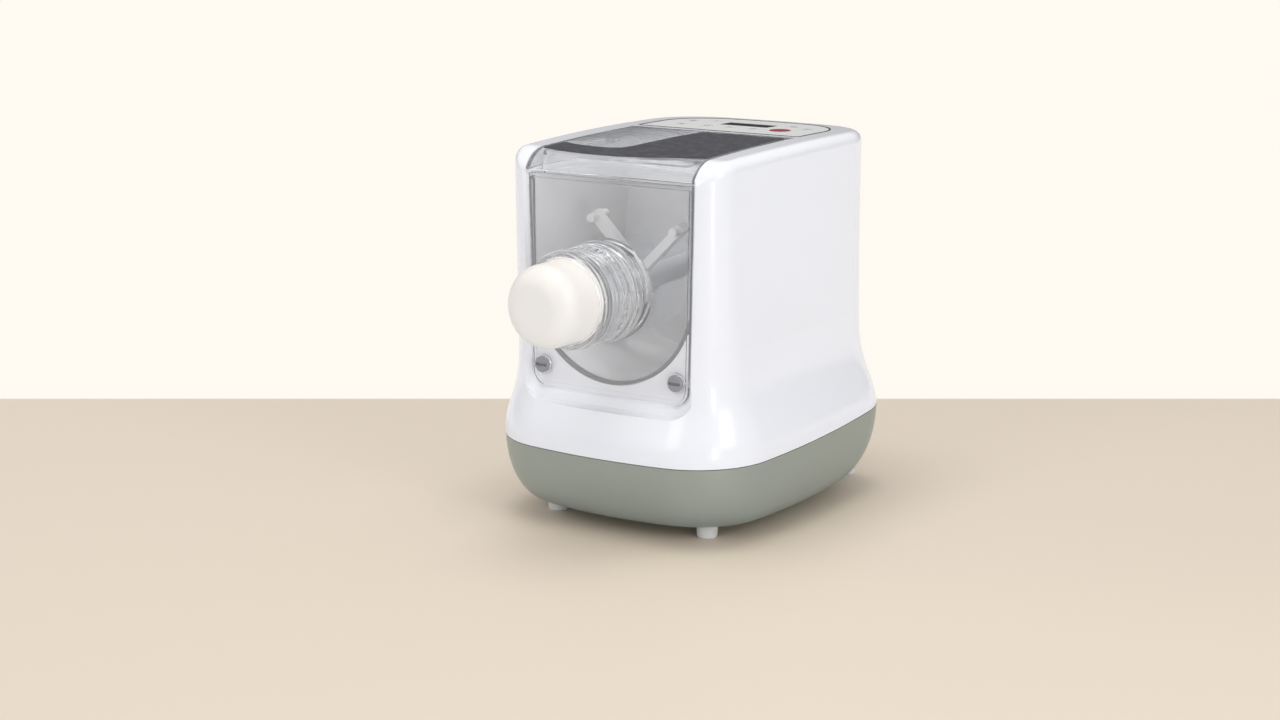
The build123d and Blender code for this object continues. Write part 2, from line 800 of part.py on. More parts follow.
turns = (screw_back - 2 - screw_front - 8) / screw_pitch
with BuildPart() as flight:
    with BuildLine() as spine:
        Helix(
            pitch=screw_pitch,
            height=turns * screw_pitch,
            radius=screw_root - 1,
            center=(0, from_face(screw_back - 4), axis_height),
            direction=(0, -1, 0),
        )
    start = spine.line @ 0
    outwards = (start - Vector(0, start.Y, axis_height)).normalized()
    with BuildSketch(Plane(origin=start, x_dir=outwards, z_dir=spine.line % 0)):
        with Locations(((screw_radius - screw_root + 1) / 2, 0)):
            Rectangle(screw_radius - screw_root + 1, 3.2)
    sweep(path=spine.line, is_frenet=True)

with BuildPart() as mixing_rod:
    add(mixing_screw.part)
    add(flight.part)
save(mixing_rod.part, "mixing_rod")

# ------------------------------------------------------------------ gears and their shafts
idler_height = axis_height - module_out * (teeth_out + teeth_idler_small) / 2
motor_height = idler_height - module_in * (teeth_idler_large + teeth_pinion) / 2
out_gear_span = (149.5, 161.5)
in_gear_span = (163.5, 171.5)


def tooth_points(teeth, module, height, first_tooth):
    """Outline of a spur gear about the upright line at this height; first_tooth is in degrees."""
    pitch_radius = module * teeth / 2
    half = pi / (2 * teeth) - tooth_play / pitch_radius
    profile = [
        (pitch_radius - 1.25 * module, 1.75),
        (pitch_radius - 0.5 * module, 1.28),
        (pitch_radius, 1.0),
        (pitch_radius + 0.6 * module, 0.66),
        (pitch_radius + 1.0 * module, 0.36),
    ]
    points = []
    for index in range(teeth):
        middle = radians(first_tooth) + 2 * pi * index / teeth
        sides = [(r, middle - half * share) for r, share in profile]
        sides += [(r, middle + half * share) for r, share in reversed(profile)]
        points += [(r * cos(a), height + r * sin(a)) for r, a in sides]
    return points + points[:1]


def spur_gear(teeth, module, span, height, first_tooth, bore):
    with BuildPart() as gear:
        with BuildSketch(facing(span[1])):
            with BuildLine():
                Polyline(*tooth_points(teeth, module, height, first_tooth))
            make_face()
            with Locations((0, height)):
                Circle(bore, mode=Mode.SUBTRACT)
        extrude(amount=span[1] - span[0])
    return gear.part


with BuildPart() as output_gear:
    add(spur_gear(teeth_out, module_out, out_gear_span, axis_height, 270 + 180 / teeth_out, shaft_radius))
    add(sleeve(34, 13, out_gear_span[0] - 1, out_gear_span[0] + 3.5), mode=Mode.SUBTRACT)
    add(sleeve(34, 13, out_gear_span[1] - 3.5, out_gear_span[1] + 1), mode=Mode.SUBTRACT)
    add(sleeve(10.5, shaft_radius, out_gear_span[1] - 1, out_gear_span[1] + 2))
save(output_gear.part, "output_gear")

with BuildPart() as output_shaft:
    add(rod(shaft_radius, shaft_front + 11, shaft_back))
    with BuildSketch(facing(shaft_front + 11)):
        with Locations((0, axis_height)):
            RegularPolygon(hex_flats / 2, 6, major_radius=False)
    extrude(amount=11)
save(output_shaft.part, "output_shaft")

idler_radius = 4.0
with BuildPart() as idler_gear:
    add(spur_gear(teeth_idler_small, module_out, out_gear_span, idler_height, 90, idler_radius))
    add(
        spur_gear(
            teeth_idler_large,
            module_in,
            in_gear_span,
            idler_height,
            270 + 180 / teeth_idler_large,
            idler_radius,
        )
    )
    add(sleeve(10, idler_radius, out_gear_span[1] - 1, in_gear_span[0] + 1, 0, idler_height))
save(idler_gear.part, "idler_gear")
save(rod(idler_radius, cover_front + 0.8, shaft_back - 0.3, 0, idler_height), "idler_shaft")

with BuildPart() as motor_pinion:
    add(
        spur_gear(
            teeth_pinion,
            module_in,
            (in_gear_span[0] - 1, in_gear_span[1] + 0.5),
            motor_height,
            90,
            motor_shaft_radius,
        )
    )
save(motor_pinion.part, "motor_pinion")

# ------------------------------------------------------------------ gear case, cover, bearings
bearing_radius = 12.0
bush_radius = 6.0


def case_outline(plane, shrink=0.0):
    half = case_half_width - shrink
    with BuildSketch(plane) as outline:
        with Locations((0, axis_height)):
            Circle(half)
        with Locations((0, (axis_height + case_bottom + shrink) / 2)):
            Rectangle(2 * half, axis_height - case_bottom - shrink)
    return outline.sketch


lug_heights = (90.0, 140.0, 200.0)
case_front = cover_front + cover_plate
with BuildPart() as gear_case:
    extrude(case_outline(facing(case_back)), amount=case_back - case_front)
    extrude(
        case_outline(facing(case_back - case_rear_wall), case_wall),
        amount=case_back,
        mode=Mode.SUBTRACT,
    )
    for side in (-1, 1):
        for height in lug_heights:
            add(rod(lug_radius, case_front, case_front + 18, side * lug_x, height))
    extrude(
        case_outline(facing(case_front + 18), case_wall), amount=30, mode=Mode.SUBTRACT
    )
    add(rod(bearing_radius + 3, case_back - 8, case_back - 1))
    add(rod(bearing_radius, case_back - 9, case_back - 1), mode=Mode.SUBTRACT)
    add(rod(8, case_back - 10, case_back + 1), mode=Mode.SUBTRACT)
    add(rod(bush_radius, case_back - 5, case_back + 1, 0, idler_height), mode=Mode.SUBTRACT)
    add(rod(14, case_back - 5, case_back + 1, 0, motor_height), mode=Mode.SUBTRACT)
    for side in (-1, 1):
        for height in lug_heights:
            add(rod(1.8, case_front - 1, case_front + 15, side * lug_x, height), mode=Mode.SUBTRACT)
    with BuildSketch(facing(case_back + 1)):
        with Locations((0, motor_height)):
            with PolarLocations(20, 4, start_angle=45):
                Circle(2.05)
    extrude(amount=6, mode=Mode.SUBTRACT)
    with BuildSketch(facing(case_back - case_rear_wall + 2)):
        with Locations((0, motor_height)):
            with PolarLocations(20, 4, start_angle=45):
                Circle(3.6)
    extrude(amount=3, mode=Mode.SUBTRACT)
save(gear_case.part, "gear_case")

with BuildPart() as gear_cover:
    extrude(case_outline(facing(case_front)), amount=cover_plate)
    for side in (-1, 1):
        for height in lug_heights:
            add(rod(lug_radius, cover_front, case_front, side * lug_x, height))
    add(rod(bearing_radius + 3, cover_front, cover_front + 8))
    add(rod(bush_radius + 3, cover_front, cover_front + 6.5, 0, idler_height))
    add(rod(bearing_radius, cover_front + 1.5, cover_front + 9), mode=Mode.SUBTRACT)
    add(rod(8, cover_front - 1, cover_front + 9), mode=Mode.SUBTRACT)
    add(rod(bush_radius, cover_front + 0.5, cover_front + 8, 0, idler_height), mode=Mode.SUBTRACT)
    for side in (-1, 1):
        for height in lug_heights:
            add(rod(2.1, cover_front - 1, case_front + 1, side * lug_x, height), mode=Mode.SUBTRACT)
save(gear_cover.part, "gear_cover")


def ball_bearing(front, back):
    """Sealed ball bearing: both rings and the shields between them, as one ring."""
    with BuildPart() as bearing:
        add(sleeve(bearing_radius, shaft_radius + fit, front, back))
        for depth in (front, back - 0.5):
            add(sleeve(10.2, 8.0, depth, depth + 0.5), mode=Mode.SUBTRACT)
    return bearing.part


with BuildPart() as bearings:
    add(ball_bearing(cover_front + 1.5, cover_front + 8))
    add(ball_bearing(case_back - 7.5, case_back - 1))
save(bearings.part, "output_bearings")

with BuildPart() as idler_bushes:
    add(sleeve(bush_radius, idler_radius + fit, cover_front + 0.5, cover_front + 6.5, 0, idler_height))
    add(sleeve(bush_radius, idler_radius + fit, case_back - 4, case_back, 0, idler_height))
save(idler_bushes.part, "idler_bushes")

# ------------------------------------------------------------------ motor and fan
with BuildPart() as motor_can:
    add(rod(motor_radius, motor_front, motor_back, 0, motor_height))
    fillet(motor_can.edges().filter_by(GeomType.CIRCLE).sort_by(Axis.Y)[0], radius=3)
    add(rod(motor_radius - motor_wall, motor_front + 3, motor_back + 1, 0, motor_height), mode=Mode.SUBTRACT)
    add(sleeve(9, 5.2, motor_front - 0.2, motor_front + 7, 0, motor_height))
    add(rod(5.2, motor_front - 1, motor_front + 8, 0, motor_height), mode=Mode.SUBTRACT)
    with BuildSketch(facing(motor_front + 4)):
        with Locations((0, motor_height)):
            with PolarLocations(20, 4, start_angle=45):
                Circle(1.7)
    extrude(amount=6, mode=Mode.SUBTRACT)
save(motor_can.part, "motor_can")

with BuildPart() as motor_end_cap:
    add(rod(motor_radius - motor_wall, motor_back - 4, motor_back, 0, motor_height))
    add(rod(motor_radius, motor_back, motor_back + 2, 0, motor_height))
    add(rod(9, motor_back - 6, motor_back + 4, 0, motor_height))
    add(rod(5.2, motor_back - 8, motor_back + 6, 0, motor_height), mode=Mode.SUBTRACT)
    with BuildSketch(facing(motor_back + 3)):
        with Locations((0, motor_height)):
            with PolarLocations(24, 6):
                SlotOverall(12, 5)
    extrude(amount=8, mode=Mode.SUBTRACT)
save(motor_end_cap.part, "motor_end_cap")

with BuildPart() as motor_magnets:
    add(sleeve(motor_radius - motor_wall, rotor_radius + air_gap, 188, 228, 0, motor_height))
    add(block((-60, 60), (180, 236), (motor_height - 5, motor_height + 5)), mode=Mode.SUBTRACT)
save(motor_magnets.part, "motor_magnets")

with BuildPart() as motor_bushes:
    add(sleeve(5.2, motor_shaft_radius + fit, motor_front + 0.2, motor_front + 7, 0, motor_height))
    add(sleeve(5.2, motor_shaft_radius + fit, motor_back - 6, motor_back + 4, 0, motor_height))
save(motor_bushes.part, "motor_bushes")

fan_span = (245.5, 254.5)
save(rod(motor_shaft_radius, in_gear_span[0] - 2, fan_span[1] + 2, 0, motor_height), "motor_shaft")

with BuildPart() as rotor_core:
    with BuildSketch(facing(226)):
        with Locations((0, motor_height)):
            Circle(rotor_radius)
            with PolarLocations(rotor_radius - 1.5, 12):
                Rectangle(6, 2.4, mode=Mode.SUBTRACT)
            with PolarLocations(rotor_radius - 6, 12):
                Circle(3.4, mode=Mode.SUBTRACT)
            Circle(motor_shaft_radius, mode=Mode.SUBTRACT)
    extrude(amount=34)
save(rotor_core.part, "rotor_core")

with BuildPart() as rotor_windings:
    for front, back in ((187.6, 192), (226, 230.4)):
        add(sleeve(24, 9, front, back, 0, motor_height))
    fillet(rotor_windings.edges().filter_by(GeomType.CIRCLE).group_by(SortBy.RADIUS)[-1], radius=1.5)
    with BuildSketch(facing(226)):
        with Locations((0, motor_height)):
            with PolarLocations(rotor_radius - 6, 12):
                Circle(3.3)
    extrude(amount=34)
save(rotor_windings.part, "rotor_windings")

with BuildPart() as cooling_fan:
    add(sleeve(9, motor_shaft_radius, *fan_span, 0, motor_height))
    add(sleeve(fan_radius - 4, motor_shaft_radius, fan_span[1] - 1.2, fan_span[1], 0, motor_height))
    for index in range(9):
        turn = 40 * index
        with BuildSketch(facing(fan_span[1])):
            with Locations((0, motor_height)):
                with PolarLocations((fan_radius + 8) / 2, 1, start_angle=turn):
                    Rectangle(fan_radius - 8, 1.6, rotation=12)
        extrude(amount=fan_span[1] - fan_span[0])
    add(rod(motor_shaft_radius, 240, 260, 0, motor_height), mode=Mode.SUBTRACT)
save(cooling_fan.part, "cooling_fan")

# ------------------------------------------------------------------ tub and feet
foot_points = [(-71.0, 35.0), (71.0, 35.0), (-71.0, 260.0), (71.0, 260.0)]
foot_radius = 8.0
foot_neck = 9.5

with BuildPart() as tub_bosses:
    for side in (-1, 1):
        for depth in side_screw_depths:
            x = side * side_screw_x
            add(post(boss_radius + 0.5, foot_height, seam_z(from_face(depth)) + 1.4, x, depth))
            near, far = sorted((x + side * (boss_radius - 1), side * 116.0))
            add(block((near, far), (depth - 1.5, depth + 1.5), (foot_height, 55)))
        # pillars under the gear case, saddles under the motor
        near, far = sorted((side * 22.0, side * 44.0))
        add(block((near, far), (147, 172), (foot_height, case_bottom)))
    for depth in (190.0, 222.0):
        add(block((-26, 26), (depth, depth + 5), (foot_height, motor_height - 26)))
    add(rod(motor_radius, 180, 240, 0, motor_height), mode=Mode.SUBTRACT)
    for side in (-1, 1):
        near, far = sorted((side * 26.0, side * 40.0))
        add(block((near, far), (150, 169), (foot_height - 1, case_bottom - 4)), mode=Mode.SUBTRACT)

with BuildPart() as tub_solid:
    add(outer_form)
    add(inner_form, mode=Mode.SUBTRACT)
    add(tub_bosses.part)
    add(outer_form, mode=Mode.INTERSECT)
    add(below_seam(0), mode=Mode.INTERSECT)

with BuildPart() as tub_lip:
    add(body_form(wall + lip_gap))
    add(body_form(wall + lip_gap + lip_wall), mode=Mode.SUBTRACT)
    add(below_seam(-lip_height), mode=Mode.INTERSECT)
    add(below_seam(10), mode=Mode.SUBTRACT)

with BuildPart() as lip_foot:
    # joins the lip to the tub's wall, below the seam
    add(body_form(wall - 0.5))
    add(body_form(wall + lip_gap + lip_wall), mode=Mode.SUBTRACT)
    add(below_seam(1.0), mode=Mode.INTERSECT)
    add(below_seam(10), mode=Mode.SUBTRACT)

with BuildPart() as base_tub:
    add(tub_solid.part)
    add(tub_lip.part)
    add(lip_foot.part)
    for side in (-1, 1):
        for depth in side_screw_depths:
            x = side * side_screw_x
            add(post(4.0, foot_height - 1, 48, x, depth), mode=Mode.SUBTRACT)
            add(post(2.2, 40, 80, x, depth), mode=Mode.SUBTRACT)
    # air inlets under the motor
    with BuildSketch(level(foot_height - 2)):
        with Locations((0, from_face(206))):
            with GridLocations(7, 1, 6, 1):
                SlotOverall(26, 3, rotation=90)
    extrude(amount=wall + 1.9, mode=Mode.SUBTRACT)
save(base_tub.part, "base_tub")

with BuildPart() as feet:
    for x, depth in foot_points:
        add(post(foot_radius, 0, 45, x, depth, foot_radius + 3.5))
    add(outer_form, mode=Mode.SUBTRACT)
    fillet(feet.edges().filter_by(GeomType.CIRCLE).group_by(Axis.Z)[0], radius=1.6)
save(feet.part, "feet")

# ------------------------------------------------------------------ lid, hinge pins, lid switch
with BuildPart() as lid_shell:
    add(outer_form)
    add(inner_form, mode=Mode.SUBTRACT)
    add(
        block((-lid_half_width, lid_half_width), (-20, pin_depth), (lid_bottom, overall_height + 5)),
        mode=Mode.INTERSECT,
    )

with BuildPart() as lid_skirt:
    add(block((-lid_half_width, lid_half_width), (2.4, pin_depth), (lid_bottom, overall_height)))
    add(
        block(
            (-lid_half_width + lid_wall, lid_half_width - lid_wall),
            (2.4 + lid_wall, pin_depth - lid_wall),
            (lid_bottom - 1, overall_height + 1),
        ),
        mode=Mode.SUBTRACT,
    )
    # lip round the lid's foot that closes the bowl
    add(block((-70, 70), (14, 130), (lid_bottom - 3.4, overall_height)))
    add(block((-68, 68), (16, 128), (lid_bottom - 5, overall_height + 1)), mode=Mode.SUBTRACT)
    add(outer_form, mode=Mode.INTERSECT)
    add(crown_slab(round_outline(400, 0, 100), 2.0, 30), mode=Mode.INTERSECT)

with BuildPart() as lid:
    add(lid_shell.part)
    add(lid_skirt.part)
    with BuildSketch(across(-lid_half_width)):
        with Locations((from_face(pin_depth), pin_height)):
            Circle(knuckle_radius)
    extrude(amount=2 * lid_half_width)
    with BuildSketch(across(-lid_half_width - 1)):
        with Locations((from_face(pin_depth), pin_height)):
            Circle(pin_radius + fit)
    extrude(amount=2 * lid_half_width + 2, mode=Mode.SUBTRACT)
    # narrow slots over the bowl that water is poured through
    with BuildSketch(level(overall_height - 10)):
        with Locations((-45, from_face(60))):
            with GridLocations(6, 1, 3, 1):
                SlotOverall(34, 2.4, rotation=90)
    extrude(amount=20, mode=Mode.SUBTRACT)
save(lid.part, "lid")

with BuildPart() as hinge_pins:
    for side in (-1, 1):
        near, far = sorted((side * (lid_half_width - 8), side * (lid_half_width + 6)))
        with BuildSketch(across(near)):
            with Locations((from_face(pin_depth), pin_height)):
                Circle(pin_radius)
        extrude(amount=far - near)
save(hinge_pins.part, "lid_hinge_pins")

magnet_x = 68.0
save(block((magnet_x, magnet_x + 6), (134, 142), (288, 293)), "lid_magnet")
switch_near = lid_half_width + lid_gap + well_wall
save(block((switch_near, switch_near + 7), (130, 144), (286.5, 294)), "lid_switch")

# ------------------------------------------------------------------ control plate, keys, display
with BuildPart() as control_trim:
    add(crown_slab(control_outline(trim_width - 0.05), -trim_proud, plate_depth))
    add(crown_slab(control_outline(0.05), -3, plate_depth + 3), mode=Mode.SUBTRACT)
save(control_trim.part, "control_trim")

with BuildPart() as control_plate:
    add(crown_slab(control_outline(0), 0, plate_depth))
    for name, x, depth in function_keys:
        add(post(key_radius + key_gap, 284, 310, x, depth), mode=Mode.SUBTRACT)
    add(post(start_radius + key_gap, 284, 310, *start_key[1:]), mode=Mode.SUBTRACT)
    add(
        block(
            (display_x - display_length / 2, display_x + display_length / 2),
            (display_depth - display_width / 2, display_depth + display_width / 2),
            (284, 310),
        ),
        mode=Mode.SUBTRACT,
    )
save(control_plate.part, "control_plate")

with BuildPart() as display_window:
    with BuildSketch(level(0)) as window_outline:
        with Locations((display_x, from_face(display_depth))):
            Rectangle(display_length - 0.2, display_width - 0.2)
    add(crown_slab(window_outline.sketch, 0.1, plate_depth))
save(display_window.part, "display_window")
save(
    block(
        (display_x - display_length / 2 + 1.5, display_x + display_length / 2 - 1.5),
        (display_depth - display_width / 2 + 1.5, display_depth + display_width / 2 - 1.5),
        (board_top, display_module_top),
    ),
    "display_module",
)

for name, x, depth in function_keys + [start_key]:
    radius = start_radius if name == "start_key" else key_radius
    with BuildPart() as key:
        add(crown_slab(round_outline(radius, x, depth), -key_proud, 7.2))
        add(crown_slab(round_outline(radius + 1.0, x, depth), 6.1, 7.2))
        add(post(2.0, key_foot_height, key_stem_top, x, depth))
    save(key.part, name)

with BuildPart() as key_switches:
    for name, x, depth in function_keys + [start_key]:
        add(block((x - 3, x + 3), (depth - 3, depth + 3), (board_top, board_top + 2.4)))
        add(post(1.7, board_top + 2, switch_height, x, depth))
save(key_switches.part, "key_switches")

with BuildPart() as control_board:
    add(block((-64, 64), (176, 244), (board_top - board_thickness, board_top)))
    for x, depth in board_screw_points:
        add(post(1.7, 270, 290, x, depth), mode=Mode.SUBTRACT)
save(control_board.part, "control_board")

# ------------------------------------------------------------------ mains inlet
with BuildPart() as inlet_pins:
    for x, height in ((-7, -2), (0, 3), (7, -2)):
        add(
            block(
                (inlet_x + x - 1, inlet_x + x + 1),
                (top_depth - 20, inlet_back - 4),
                (inlet_height + height - 2, inlet_height + height + 2),
            )
        )
save(inlet_pins.part, "inlet_pins")

with BuildPart() as inlet_socket:
    add(
        block(
            (inlet_x - inlet_width / 2 + 0.2, inlet_x + inlet_width / 2 - 0.2),
            (top_depth - 10, inlet_back - 0.5),
            (inlet_height - inlet_tall / 2 + 0.2, inlet_height + inlet_tall / 2 - 0.2),
        )
    )
    with BuildSketch(facing(inlet_back + 1)):
        with Locations((inlet_x, inlet_height)):
            RectangleRounded(inlet_width - 5, inlet_tall - 6, 3)
    extrude(amount=18, mode=Mode.SUBTRACT)
    add(inlet_pins.part, mode=Mode.SUBTRACT)
save(inlet_socket.part, "inlet_socket")

# ------------------------------------------------------------------ power board and ribbon cable
board_left = power_board_x
with BuildPart() as power_board:
    add(block((board_left, board_left + board_thickness), (148, 212), (158, 242)))
    with BuildSketch(across(board_left - 1)):
        for depth, height in power_board_points:
            with Locations((from_face(depth), height)):
                Circle(1.7)
    extrude(amount=5, mode=Mode.SUBTRACT)
save(power_board.part, "power_board")

board_face = board_left + board_thickness
with BuildPart() as board_parts:
    add(block((board_face, board_face + 16), (160, 176), (175, 196)))
    add(block((board_face, board_face + 12), (162, 172), (204, 222)))
    add(block((board_face, board_face + 20), (182, 200), (204, 228)))
    for height in (176, 188):
        with BuildSketch(across(board_face)):
            with Locations((from_face(190), height)):
                Circle(5)
        extrude(amount=18)
save(board_parts.part, "power_board_parts")

with BuildPart() as board_screws:
    for x, depth in board_screw_points:
        add(post(3.0, board_top - board_thickness - 2, board_top - board_thickness, x, depth))
        add(post(1.3, board_top - board_thickness - 1, board_top + 5, x, depth))
    for reach, radius, start_x in ((2.0, 3.0, board_face), (-7.6, 1.3, board_face + 1)):
        with BuildSketch(across(start_x)):
            for depth, height in power_board_points:
                with Locations((from_face(depth), height)):
                    Circle(radius)
        extrude(amount=reach)
save(board_screws.part, "board_screws")


with BuildPart() as ribbon_cable:
    with BuildSketch(facing(200)):
        with BuildLine():
            FilletPolyline(
                (-58, board_top - board_thickness - 0.6),
                (-58, 262),
                (-72, 236),
                (board_face + 0.6, 236),
                radius=9,
            )
        trace(line_width=1.0)
    extrude(amount=16)
save(ribbon_cable.part, "ribbon_cable")

# ------------------------------------------------------------------ fasteners, one group a kind
with BuildPart() as liner_screws:
    for x, height in lug_points:
        add(rod(4.1, liner_back + 0.1, liner_back + 1.6, x, height))
        add(rod(1.8, liner_back + 1.5, case_front + 12, x, height))
save(liner_screws.part, "liner_screws")

with BuildPart() as motor_screws:
    for turn in (45, 135, 225, 315):
        x = 20 * cos(radians(turn))
        height = motor_height + 20 * sin(radians(turn))
        add(rod(3.5, case_back - case_rear_wall + 0.1, case_back - case_rear_wall + 2, x, height))
        add(rod(1.7, case_back - case_rear_wall + 1, motor_front + 3, x, height))
save(motor_screws.part, "motor_screws")

with BuildPart() as pan_head_screws:
    for x, height in pad_screw_points:
        add(rod(3.3, pad_depth + liner_flange, pad_depth + liner_flange + 2.2, x, height))
        add(rod(1.5, 3.5, pad_depth + liner_flange + 1, x, height))
    for side in (-1, 1):
        add(rod(3.3, cover_front - 2.2, cover_front, side * lug_x, lug_heights[0]))
        add(rod(1.8, cover_front - 1, case_front + 12, side * lug_x, lug_heights[0]))
save(pan_head_screws.part, "pan_head_screws")

with BuildPart() as base_screws:
    for side in (-1, 1):
        for depth in side_screw_depths:
            add(post(3.7, 45.0, 48.0, side * side_screw_x, depth))
            add(post(tap_radius, 47.0, 88.0, side * side_screw_x, depth))
save(base_screws.part, "base_screws")
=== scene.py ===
"""Electric pasta maker: its looks, its stage and its camera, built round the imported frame."""

import math

import bmesh
import bpy
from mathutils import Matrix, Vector


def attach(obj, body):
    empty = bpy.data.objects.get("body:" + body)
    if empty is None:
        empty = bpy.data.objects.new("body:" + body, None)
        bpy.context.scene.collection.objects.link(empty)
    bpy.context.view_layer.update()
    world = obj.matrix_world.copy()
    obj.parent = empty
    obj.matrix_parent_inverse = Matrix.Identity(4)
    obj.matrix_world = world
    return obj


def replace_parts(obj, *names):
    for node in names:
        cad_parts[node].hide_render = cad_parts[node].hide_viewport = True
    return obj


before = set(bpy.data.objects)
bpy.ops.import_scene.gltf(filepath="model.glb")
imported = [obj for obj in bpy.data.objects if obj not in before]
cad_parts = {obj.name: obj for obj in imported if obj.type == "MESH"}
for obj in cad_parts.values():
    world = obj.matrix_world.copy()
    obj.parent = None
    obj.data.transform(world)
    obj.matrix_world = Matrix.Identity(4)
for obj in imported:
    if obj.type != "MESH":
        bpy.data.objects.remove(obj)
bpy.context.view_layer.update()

bl_info = {
    "name": "Electric Pasta Maker",
    "version": (1, 0, 0),
    "blender": (4, 5, 0),
    "location": "View3D > Sidebar > Pasta Maker",
    "description": "Builds the looks of an electric pasta maker round its frame of solids",
    "category": "Object",
}

MM = 0.001
FACE = -0.09275             # y of the body's face
AXIS = 0.1935               # height of the nozzle's axis
CROWN_RADIUS = 3.0          # the top is a shallow arc from front to rear
CROWN_DEPTH = 0.170         # highest line of that arc, behind the face
TOP = 0.300
BROW = 0.028                # the front end of the top rolls down over this radius
BROW_AHEAD = 0.0006         # and stands this far in front of the face
POST_SIDE = 0.062           # the quarter-turn posts sit this far left and right of the middle
POST_HEIGHT = 0.1275


# ------------------------------------------------------------------ settings
class PastaMakerBody(bpy.types.PropertyGroup):
    housing_color: bpy.props.FloatVectorProperty(
        name="Housing", description="Colour of the upper housing", subtype="COLOR",
        size=3, default=(0.90, 0.905, 0.935), min=0, max=1)
    tub_color: bpy.props.FloatVectorProperty(
        name="Tub", description="Colour of the lower tub", subtype="COLOR",
        size=3, default=(0.365, 0.415, 0.39), min=0, max=1)
    die_color: bpy.props.FloatVectorProperty(
        name="Die", description="Colour of the extrusion die", subtype="COLOR",
        size=3, default=(0.92, 0.885, 0.83), min=0, max=1)
    clear_tint: bpy.props.FloatVectorProperty(
        name="Clear plastic", description="Tint of the clear plastic pieces", subtype="COLOR",
        size=3, default=(0.975, 0.98, 0.985), min=0, max=1)
    start_color: bpy.props.FloatVectorProperty(
        name="Start key", description="Colour of the start key", subtype="COLOR",
        size=3, default=(0.52, 0.02, 0.025), min=0, max=1)
    # the smoked film's near-black colour is painted shade of the chamber seen through the lid's top
    smoke_color: bpy.props.FloatVectorProperty(
        name="Smoked film", description="Colour of the smoked film in the lid's top", subtype="COLOR",
        size=3, default=(0.045, 0.045, 0.053), min=0, max=1)


class PastaMakerNozzle(bpy.types.PropertyGroup):
    steps: bpy.props.IntProperty(
        name="Steps", description="Faces round each turned piece", default=144, min=48)
    nose_radius: bpy.props.FloatProperty(
        name="Nose radius", description="Rounding of the die's front", default=0.017, min=0.004,
        unit="LENGTH")
    outlet_radius: bpy.props.FloatProperty(
        name="Outlet radius", description="Radius of the holes that the pasta leaves through",
        default=0.0015, min=0.0005, unit="LENGTH")


class PastaMakerStage(bpy.types.PropertyGroup):
    floor_color: bpy.props.FloatVectorProperty(
        name="Floor colour", description="Colour of the floor round the machine", subtype="COLOR",
        size=3, default=(0.80, 0.69, 0.56), min=0, max=1)
    backdrop_color: bpy.props.FloatVectorProperty(
        name="Backdrop colour", description="Colour of the floor beyond the table's edge",
        subtype="COLOR", size=3, default=(1.0, 0.956, 0.888), min=0, max=1)
    table_edge: bpy.props.FloatProperty(
        name="Table edge", description="How far behind the machine's middle the pale backdrop begins",
        default=0.375, min=0.3, unit="LENGTH")
    world_light: bpy.props.FloatProperty(
        name="World light", description="Strength of the light from all round", default=0.6, min=0)
    key_light: bpy.props.FloatProperty(
        name="Lamps", description="Power that the lamps take their shares of", default=16.0, min=0,
        unit="POWER")


# ------------------------------------------------------------------ modelling by hand
def select_only(*pieces):
    """Leaves edit mode and selects these pieces alone; the first becomes the active one."""
    if bpy.context.object and bpy.context.object.mode != "OBJECT":
        bpy.ops.object.mode_set(mode="OBJECT")
    bpy.ops.object.select_all(action="DESELECT")
    for piece in pieces:
        piece.select_set(True)
    if pieces:
        bpy.context.view_layer.objects.active = pieces[0]


def primitive(kind, name, **values):
    """Adds a primitive at its size and place, with the place in its mesh."""
    select_only()
    getattr(bpy.ops.mesh, f"primitive_{kind}_add")(**values)
    piece = bpy.context.object
    piece.name = piece.data.name = name
    bpy.ops.object.transform_apply(location=True, rotation=True, scale=True)
    return piece


def edit(piece, mode="VERT"):
    """Enters edit mode with the whole piece selected."""
    select_only(piece)
    bpy.ops.object.mode_set(mode="EDIT")
    bpy.ops.mesh.select_mode(type=mode)
    bpy.ops.mesh.select_all(action="SELECT")


def pick(piece, mode, test):
    """In edit mode, selects the vertices, edges or faces that pass a test."""
    bpy.ops.mesh.select_mode(type=mode)
    bpy.ops.mesh.select_all(action="DESELECT")
    mesh = bmesh.from_edit_mesh(piece.data)
    found = {"VERT": mesh.verts, "EDGE": mesh.edges, "FACE": mesh.faces}[mode]
    for part in found:
        if test(part):
            part.select_set(True)
    mesh.select_flush_mode()
    bmesh.update_edit_mesh(piece.data)


def move(vector):
    """In edit mode, extrudes what is selected along a vector."""
    bpy.ops.mesh.extrude_region_move(TRANSFORM_OT_translate={"value": tuple(vector)})


def close(piece):
    """Merges doubles, turns the faces outwards and leaves edit mode."""
    bpy.ops.mesh.select_all(action="SELECT")
    bpy.ops.mesh.remove_doubles(threshold=2e-6)
    bpy.ops.mesh.normals_make_consistent(inside=False)
    bpy.ops.object.mode_set(mode="OBJECT")
    return piece


def finish_modifiers(piece):
    """Applies the modifiers of a piece."""
    select_only(piece)
    for modifier in list(piece.modifiers):
        bpy.ops.object.modifier_apply(modifier=modifier.name)
    return piece


def combine(piece, tool, operation="DIFFERENCE"):
    """Cuts a tool out of a piece or fuses it on, and deletes the tool."""
    modifier = piece.modifiers.new("combine", "BOOLEAN")
    modifier.operation = operation
    modifier.solver = "EXACT"
    modifier.object = tool
    finish_modifiers(piece)
    mesh = tool.data
    bpy.data.objects.remove(tool, do_unlink=True)
    bpy.data.meshes.remove(mesh)
    return piece


def rounded(piece, width, segments=3, angle=35):
    """Rounds the sharp edges of a piece."""
    modifier = piece.modifiers.new("rounded", "BEVEL")
    modifier.width = width
    modifier.segments = segments
    modifier.limit_method = "ANGLE"
    modifier.angle_limit = math.radians(angle)
    modifier.use_clamp_overlap = True
    return finish_modifiers(piece)


def smooth(piece, angle=32):
    select_only(piece)
    bpy.ops.object.shade_smooth_by_angle(angle=math.radians(angle))
    return piece


